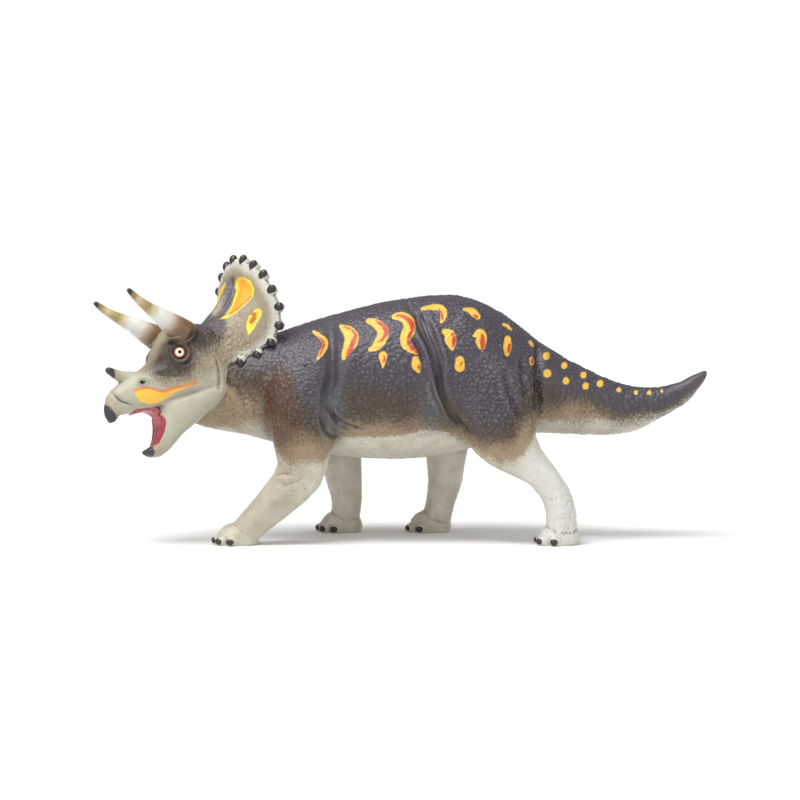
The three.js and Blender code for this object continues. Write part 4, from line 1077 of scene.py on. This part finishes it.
HEAD_MARKS = [
    {"name": "lemon_mark", "colour": "#e9dc45", "soft": 0.2, "specks": 0.6, "cover": 1.0},
    {"name": "orange_mark", "colour": "#eea032", "soft": 0.45, "specks": 1.6, "cover": 0.95},
    {"name": "rust_mark", "colour": "#9c4a22", "soft": 0.25, "specks": 1.0, "cover": 0.8},
    {"name": "lip_mark", "colour": "#ecb943", "soft": 0.25, "specks": 0.8, "cover": 1.0},
    {"name": "lip_edge", "colour": "#da7442", "soft": 0.3, "specks": 1.2, "cover": 0.95},
    {"name": "nostril_ring", "colour": "#8f957f", "soft": 0.3, "specks": 0.8, "cover": 0.7},
    {"name": "nostril_slit", "colour": "#2a2420", "soft": 0.3, "specks": 0.4, "cover": 0.9},
    {"name": "olive_band", "colour": "#9a8c64", "soft": 1.5, "specks": 3.0, "cover": 0.55},
    {"name": "dark_tip", "colour": "#332e2f", "soft": 0.45, "specks": 0.8, "cover": 1.0},
    {"name": "mouth_red", "colour": "#9c2f38", "soft": 0.3, "specks": 0.5, "cover": 1.0},
]


def in_balls(at, balls):
    """How far each place lies inside the nearest of some balls, in millimetres."""
    return np.maximum.reduce([radius - away_from(at, middle) for middle, radius in balls])


def kept_to(share, drop=9):
    """0 where a share is 1 and far below 0 where it is 0. Added to a mark, it keeps the mark to that area."""
    return drop * (share - 1)


def paint_head(piece):
    """Stores how far each point lies inside each coat and mark of the head's paint."""
    at = on_head(places(piece))
    out = facings(piece) @ HEAD_AXES
    mirrored = both_sides(at)
    forward, across, up = mirrored.T
    profile = mirrored[:, [0, 2]]
    front = mirrored[:, 1:]
    wander = 1.2 * rough(at, 6, seed=31) + 0.6 * rough(at, 3, seed=32)
    over_cheek = up - np.interp(forward, *np.array(CHEEK_LINE).T)
    mark_points(piece, "taupe_coat", np.minimum(over_cheek, TAUPE_END - forward) + wander)
    mark_points(piece, "rim_coat", RIM_PAINT_WIDTH - gap_to(mirrored, RIM) + 0.3 * wander)
    mark_points(piece, "brown_coat", in_balls(mirrored, EYE_SHADES) + 0.9 * wander)
    on_frill = kept_to(rise(out[:, 0], 0.0, 0.2) * rise(4 - forward, 0, 2))
    # The dark stripe beside the frill's middle ridge is painted shade, laid with the dark coat.
    ridge_shade = STRIPE_WIDTH - gap_to(front, RIDGE_SHADE_STRIPE) + on_frill
    mark_points(piece, "dark_coat", np.maximum(in_balls(mirrored, CROWN_SHADES), ridge_shade) + 0.3 * wander)
    windows = {name: inside_of(front, outline) for name, outline in FRILL_WINDOWS.items()}
    orange = [windows[name] - inset for name, inset in ORANGE_INSETS.items()]
    mark_points(piece, "lemon_mark", np.maximum(*windows.values()) + on_frill)
    mark_points(piece, "orange_mark", np.maximum(*orange) + on_frill)
    stroke = RUST_STROKE_WIDTH - gap_to(front, RUST_STROKE)
    dab = RUST_DAB_WIDTH - gap_to(front, RUST_DAB)
    mark_points(piece, "rust_mark", np.maximum(stroke, dab) + on_frill)
    side_on = kept_to(rise(np.abs(out[:, 1]), 0.1, 0.3))
    lip = inside_of(profile, LIP_TOP + LIP_UNDER)
    mark_points(piece, "lip_mark", lip + side_on)
    lip_edge = LIP_EDGE_WIDTH - gap_to(profile, LIP_TOP)
    mark_points(piece, "lip_edge", np.minimum(lip_edge, lip + 0.5) + side_on)
    for name, radius in NOSTRIL_PAINT.items():
        mark_points(piece, name, radius - away_from(mirrored, NOSTRIL_PLACE, NOSTRIL_SHAPE))
    a, b = BEAK_TIP_LINE
    along = (b - a) / np.linalg.norm(b - a)
    beak_tip = along[0] * (up - a[1]) - along[1] * (forward - a[0]) + kept_to(up <= BEAK_TIP_TOP, 40)
    chin_tip = forward - CHIN_TIP[0] + kept_to(up <= CHIN_TIP[1], 40)
    nose_tip = forward - NOSE_TIP[0] + kept_to((up >= NOSE_TIP[1]) & (across <= 4), 40)
    tips = np.maximum.reduce([beak_tip, chin_tip, nose_tip])
    mark_points(piece, "dark_tip", tips)
    mark_points(piece, "olive_band", tips + OLIVE_BAND)
    # The red covers what faces forward out of the mouth and the roof, which faces down.
    into_mouth = (out[:, 0] * 0.9 + np.where(up > -32, -out[:, 2], 0)) * (np.abs(out[:, 1]) < 0.75)
    red = np.minimum(MOUTH_RED_WIDTH - gap_to(profile, MOUTH_EDGE), 4 * (into_mouth - 0.6))
    red += kept_to(rise(-up, 29.5, 30.5))
    behind_beak = 8 * (rise(30 - forward + 0.6 * (up > -33), 0, 1) - 0.5)
    mark_points(piece, "mouth_red", np.minimum(red, behind_beak))
    # How deep each point lies in a hollow, for the wash and the painted shade there.
    mark_points(piece, "wash_and_shade", hollows(piece, 8))


head_paint = painted_vinyl("hand_painted_head", FACE_CAST, HEAD_COATS, wash_and_shade_cover=0.75, marks=HEAD_MARKS)
head_clay.data.materials.clear()
head_clay.data.materials.append(head_paint)

# Skull and jaw
# The clay is parted along the lips, where the real head and the jaw with its cheeks are glued together. The
# frill, the nose horn and the ball-shaped feet of the studs are one piece with the skull.
JAW_BLOCK = {  # corners of all that lies under the lips: back or front, top or bottom, to forward and up
    (-1, 1): (-46, -13.4),
    (1, 1): (38.2, -31.7),
    (-1, -1): (-46, -80),
    (1, -1): (38.2, -80),
}
JAW_BLOCK_HALF = 40


def turn_outwards(piece):
    """Turns all faces of a closed piece outwards."""
    select_only(piece)
    bpy.ops.object.mode_set(mode="EDIT")
    bpy.ops.mesh.select_all(action="SELECT")
    bpy.ops.mesh.normals_make_consistent(inside=False)
    bpy.ops.object.mode_set(mode="OBJECT")


bpy.ops.mesh.primitive_cube_add(size=1)
under_lips = bpy.context.object
under_lips.name = "under_lips"
for point in under_lips.data.vertices:
    ahead, height = JAW_BLOCK[round(2 * point.co.x), round(2 * point.co.z)]
    point.co = in_world((ahead, JAW_BLOCK_HALF * math.copysign(1, point.co.y), height)) * MM
turn_outwards(under_lips)
under_lips.data.materials.append(bare)
skull = copy_of(head_clay, "skull_skin")
cut(skull, under_lips, "DIFFERENCE")
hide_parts("head")
jaw = copy_of(head_clay, "jaw_skin")
cut(jaw, under_lips, "INTERSECT")
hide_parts("lower_jaw")
bpy.data.objects.remove(under_lips)
bpy.data.objects.remove(head_clay)
for piece in (skull, jaw):
    paint_head(piece)
    finish_shading(piece)
    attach(piece, "root")

# Frill studs
# Nineteen bony studs stand round the rim of the frill, moulded with it. Each has a cream foot and a glossy
# black teardrop painted on its top.
STUDS_PER_SIDE = 9
STUD_SIZES = (1.5, 1.6, 2.05)  # half sizes to the front, along the rim and outwards
STUD_SHIFT = (0.95, 0.75)  # from the rim to the middle of a stud, to the front and outwards
STUD_AIM = (-4, 0.55)  # where the studs point away from, forward of the crown, and how much they lean back
STUD_ROUGHNESS = 0.08
rim = curved(RIM, steps=12)
rim_lengths = np.concatenate([[0], np.cumsum(np.linalg.norm(np.diff(rim, axis=0), axis=1))])
straight_ahead = Vector(HEAD_AXES @ np.array([1, 0, 0]))
studs = []
for number in range(STUDS_PER_SIDE + 1):
    reached = number / STUDS_PER_SIDE * rim_lengths[-1]
    ahead, out_by, above = [np.interp(reached, rim_lengths, rim[:, axis]) for axis in range(3)]
    for side in (1, -1) if number else (1,):
        place = in_world((ahead, side * out_by, above))
        aim = np.array([ahead - STUD_AIM[0], side * out_by, above]) * np.array([STUD_AIM[1], 1, 1])
        outward = Vector(HEAD_AXES @ aim).normalized()
        front = (straight_ahead - outward * straight_ahead.dot(outward)).normalized()
        middle = place + STUD_SHIFT[1] * outward + STUD_SHIFT[0] * front
        studs.append(ball("stud", middle, STUD_SIZES, [front, outward.cross(front), outward]))
studs = joined("frill_studs", studs)
for point in studs.data.vertices:
    lumps = [noise.noise(point.co / MM * 1.1 + Vector((i, 0, 0))) for i in (3, 5, 7)]
    point.co += Vector([STUD_ROUGHNESS * MM * lump for lump in lumps])
studs.data.materials.append(black_paint)
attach(studs, "root")

# Brow horns
# Two long hard horns, moulded apart and plugged into the brows. They are cream with brown sprayed round the
# root, an olive band towards the tip and a black tip.
HORN_LENGTH = 24.5
HORN_ROOT = (16.1, 9.0, -3.6)
HORN_ROWS = [  # forward, out, up and radius, of the length
    (-0.06, 0, -0.04, 0.19), (0.1, 0.01, 0.06, 0.187), (0.302, 0.053, 0.192, 0.137),
    (0.46, 0.085, 0.292, 0.1), (0.592, 0.12, 0.377, 0.078), (0.75, 0.158, 0.49, 0.056),
    (0.865, 0.188, 0.598, 0.04), (0.892, 0.195, 0.62, 0.031), (0.905, 0.198, 0.63, 0.017),
    (0.909, 0.199, 0.633, 0.003),
]
LEAST_RADIUS = 0.002
HORN_LUMPS = {"height": 0.14, "pitch": 3.2}
HORN_COLOURS = [  # from root to tip
    (0.01, "#6b4f36"), (0.07, "#85694f"), (0.13, "#a39180"), (0.21, "#c6c1b8"), (0.38, "#d6d6cf"),
    (0.51, "#bfb08c"), (0.58, "#94804f"), (0.67, "#a3915f"), (0.77, "#c0b48e"), (0.86, "#8d7b4f"),
    (0.91, "#7d6c48"), (0.93, "#2f2a2a"), (1.0, "#262122"),
]
BAND_RAGGEDNESS = 0.12  # how far the edges of the bands wander, of the length


def set_stops(ramp, stops, shift=0.0):
    """Gives a colour ramp its stops: places, all moved by a shift, and hex colours."""
    while len(ramp.elements) < len(stops):
        ramp.elements.new(0.5)
    for stop, (place, colour) in zip(ramp.elements, stops):
        stop.position = min(place + shift, 1)
        stop.color = linear(colour)


horn_paint, tree, shell = new_material("painted_horn_pvc", 0.38)
where = add_node(tree, "ShaderNodeTexCoord").outputs["Object"]
streaks = add_node(
    tree,
    "ShaderNodeTexNoise",
    {"Vector": where, "Scale": 600.0, "Detail": 4.0, "Roughness": 0.65},
)
streak = streaks.outputs["Fac"]
along = add_node(tree, "ShaderNodeAttribute", attribute_name="along_horn").outputs["Fac"]
ragged = add_node(tree, "ShaderNodeMath", {0: streak, 1: BAND_RAGGEDNESS, 2: along}, operation="MULTIPLY_ADD")
bands = add_node(tree, "ShaderNodeValToRGB", {"Fac": ragged.outputs[0]})
set_stops(bands.color_ramp, HORN_COLOURS, BAND_RAGGEDNESS / 2)
tree.links.new(bands.outputs["Color"], shell.inputs["Base Color"])
grooved = add_node(tree, "ShaderNodeBump", {"Height": streak, "Distance": 0.0003, "Strength": 0.5})
tree.links.new(grooved.outputs[0], shell.inputs["Normal"])

for side, name in ((1, "brow_horn_left"), (-1, "brow_horn_right")):
    rows = curved(HORN_ROWS, steps=5)
    spine = bpy.data.curves.new(name + "_spine", "CURVE")
    spine.dimensions = "3D"
    spine.bevel_depth = 1.0
    spine.bevel_resolution = 6
    spine.use_fill_caps = True
    line = spine.splines.new("POLY")
    line.points.add(len(rows) - 1)
    for point, (ahead, out_by, above, radius) in zip(line.points, rows):
        spot = np.array(HORN_ROOT) + np.array([ahead, out_by, above]) * HORN_LENGTH
        point.co = (*(in_world(on_side(spot, side)) * MM), 1)
        point.radius = max(radius, LEAST_RADIUS) * HORN_LENGTH * MM
    horn = bpy.data.objects.new(name + "_spike", spine)
    bpy.context.scene.collection.objects.link(horn)
    select_only(horn)
    bpy.ops.object.convert(target="MESH")
    horn = bpy.context.object
    bpy.ops.object.mode_set(mode="EDIT")
    bpy.ops.mesh.select_all(action="SELECT")
    bpy.ops.mesh.remove_doubles(threshold=0.01 * MM)
    bpy.ops.object.mode_set(mode="OBJECT")
    turn_outwards(horn)
    change(horn, "SUBSURF", levels=1, render_levels=1)
    start, end = np.array(HORN_ROOT) + np.array(HORN_ROWS)[[1, -1], :3] * HORN_LENGTH
    at = on_side(on_head(places(horn)), side)
    mark_points(horn, "along_horn", (at - start) @ (end - start) / np.dot(end - start, end - start))
    push(horn, HORN_LUMPS["height"] * rough(at, HORN_LUMPS["pitch"], seed=41))
    bpy.ops.object.shade_smooth()
    horn.data.materials.clear()
    horn.data.materials.append(horn_paint)
    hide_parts(name)
    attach(horn, "root")

# Eyes
# Each eye is a bead moulded in the head, painted cream with a small black pupil and a thin red rim, and
# varnished glossy.
EYE_RINGS = [  # outwards from the middle of the pupil, by the radius of the bead
    (0.0, "#17100e"), (0.27, "#17100e"), (0.33, "#f0d8bd"), (0.66, "#f2dcc4"), (0.76, "#d8785a"),
    (0.93, "#5a2c22"),
]
LOOK = (0.32, 0.93, 0.06)  # where an eye looks: forward, out and up
eye_paint, tree, shell = new_material("glossy_eye_paint", 0.15)
shell.inputs["Coat Weight"].default_value = 0.5
ring = add_node(tree, "ShaderNodeAttribute", attribute_name="from_pupil")
rings = add_node(tree, "ShaderNodeValToRGB", {"Fac": ring.outputs["Fac"]})
set_stops(rings.color_ramp, EYE_RINGS)
tree.links.new(rings.outputs["Color"], shell.inputs["Base Color"])
eyes = []
for side in (1, -1):
    middle = in_world(on_side(EYE_PLACE, side))
    eye = ball("eye", middle, (EYE_RADIUS,) * 3, HEAD_AXES.T, fineness=(36, 24))
    look = on_side(LOOK, side)
    look /= np.linalg.norm(look)
    at = on_head(places(eye)) - on_side(EYE_PLACE, side)
    mark_points(eye, "from_pupil", np.linalg.norm(at - look * EYE_RADIUS, axis=1) / EYE_RADIUS)
    eyes.append(eye)
eyes = joined("painted_eyes", eyes)
eyes.data.materials.append(eye_paint)
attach(eyes, "root")

# Mouth lining
# A strip of red vinyl, glued in between the jaws, lines the palate and the back of the open mouth. It is
# glossy, as if wet.
LINING_SWELL = 0.05
LINING_GRAIN = 0.25
lining_paint, tree, shell = new_material("wet_red_vinyl", 0.25)
where = add_node(tree, "ShaderNodeTexCoord").outputs["Object"]
flesh = add_node(tree, "ShaderNodeTexNoise", {"Vector": where, "Scale": 500.0, "Detail": 3.0}).outputs["Fac"]
reds = add_node(
    tree,
    "ShaderNodeMix",
    {0: flesh, 6: linear("#8a2430"), 7: linear("#b84650")},
    data_type="RGBA",
)
wet = add_node(tree, "ShaderNodeBump", {"Height": flesh, "Distance": 0.0003, "Strength": 0.6})
tree.links.new(reds.outputs[2], shell.inputs["Base Color"])
tree.links.new(wet.outputs[0], shell.inputs["Normal"])
lining = blank_of("mouth_lining", LINING_SWELL)
lining.name = "mouth_strip"
lining.data.remesh_voxel_size = LINING_GRAIN * MM
select_only(lining)
bpy.ops.object.voxel_remesh()
relax(lining, np.ones(len(lining.data.vertices)), 6)
bpy.ops.object.shade_smooth()
lining.data.materials.append(lining_paint)
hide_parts("mouth_lining")
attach(lining, "root")
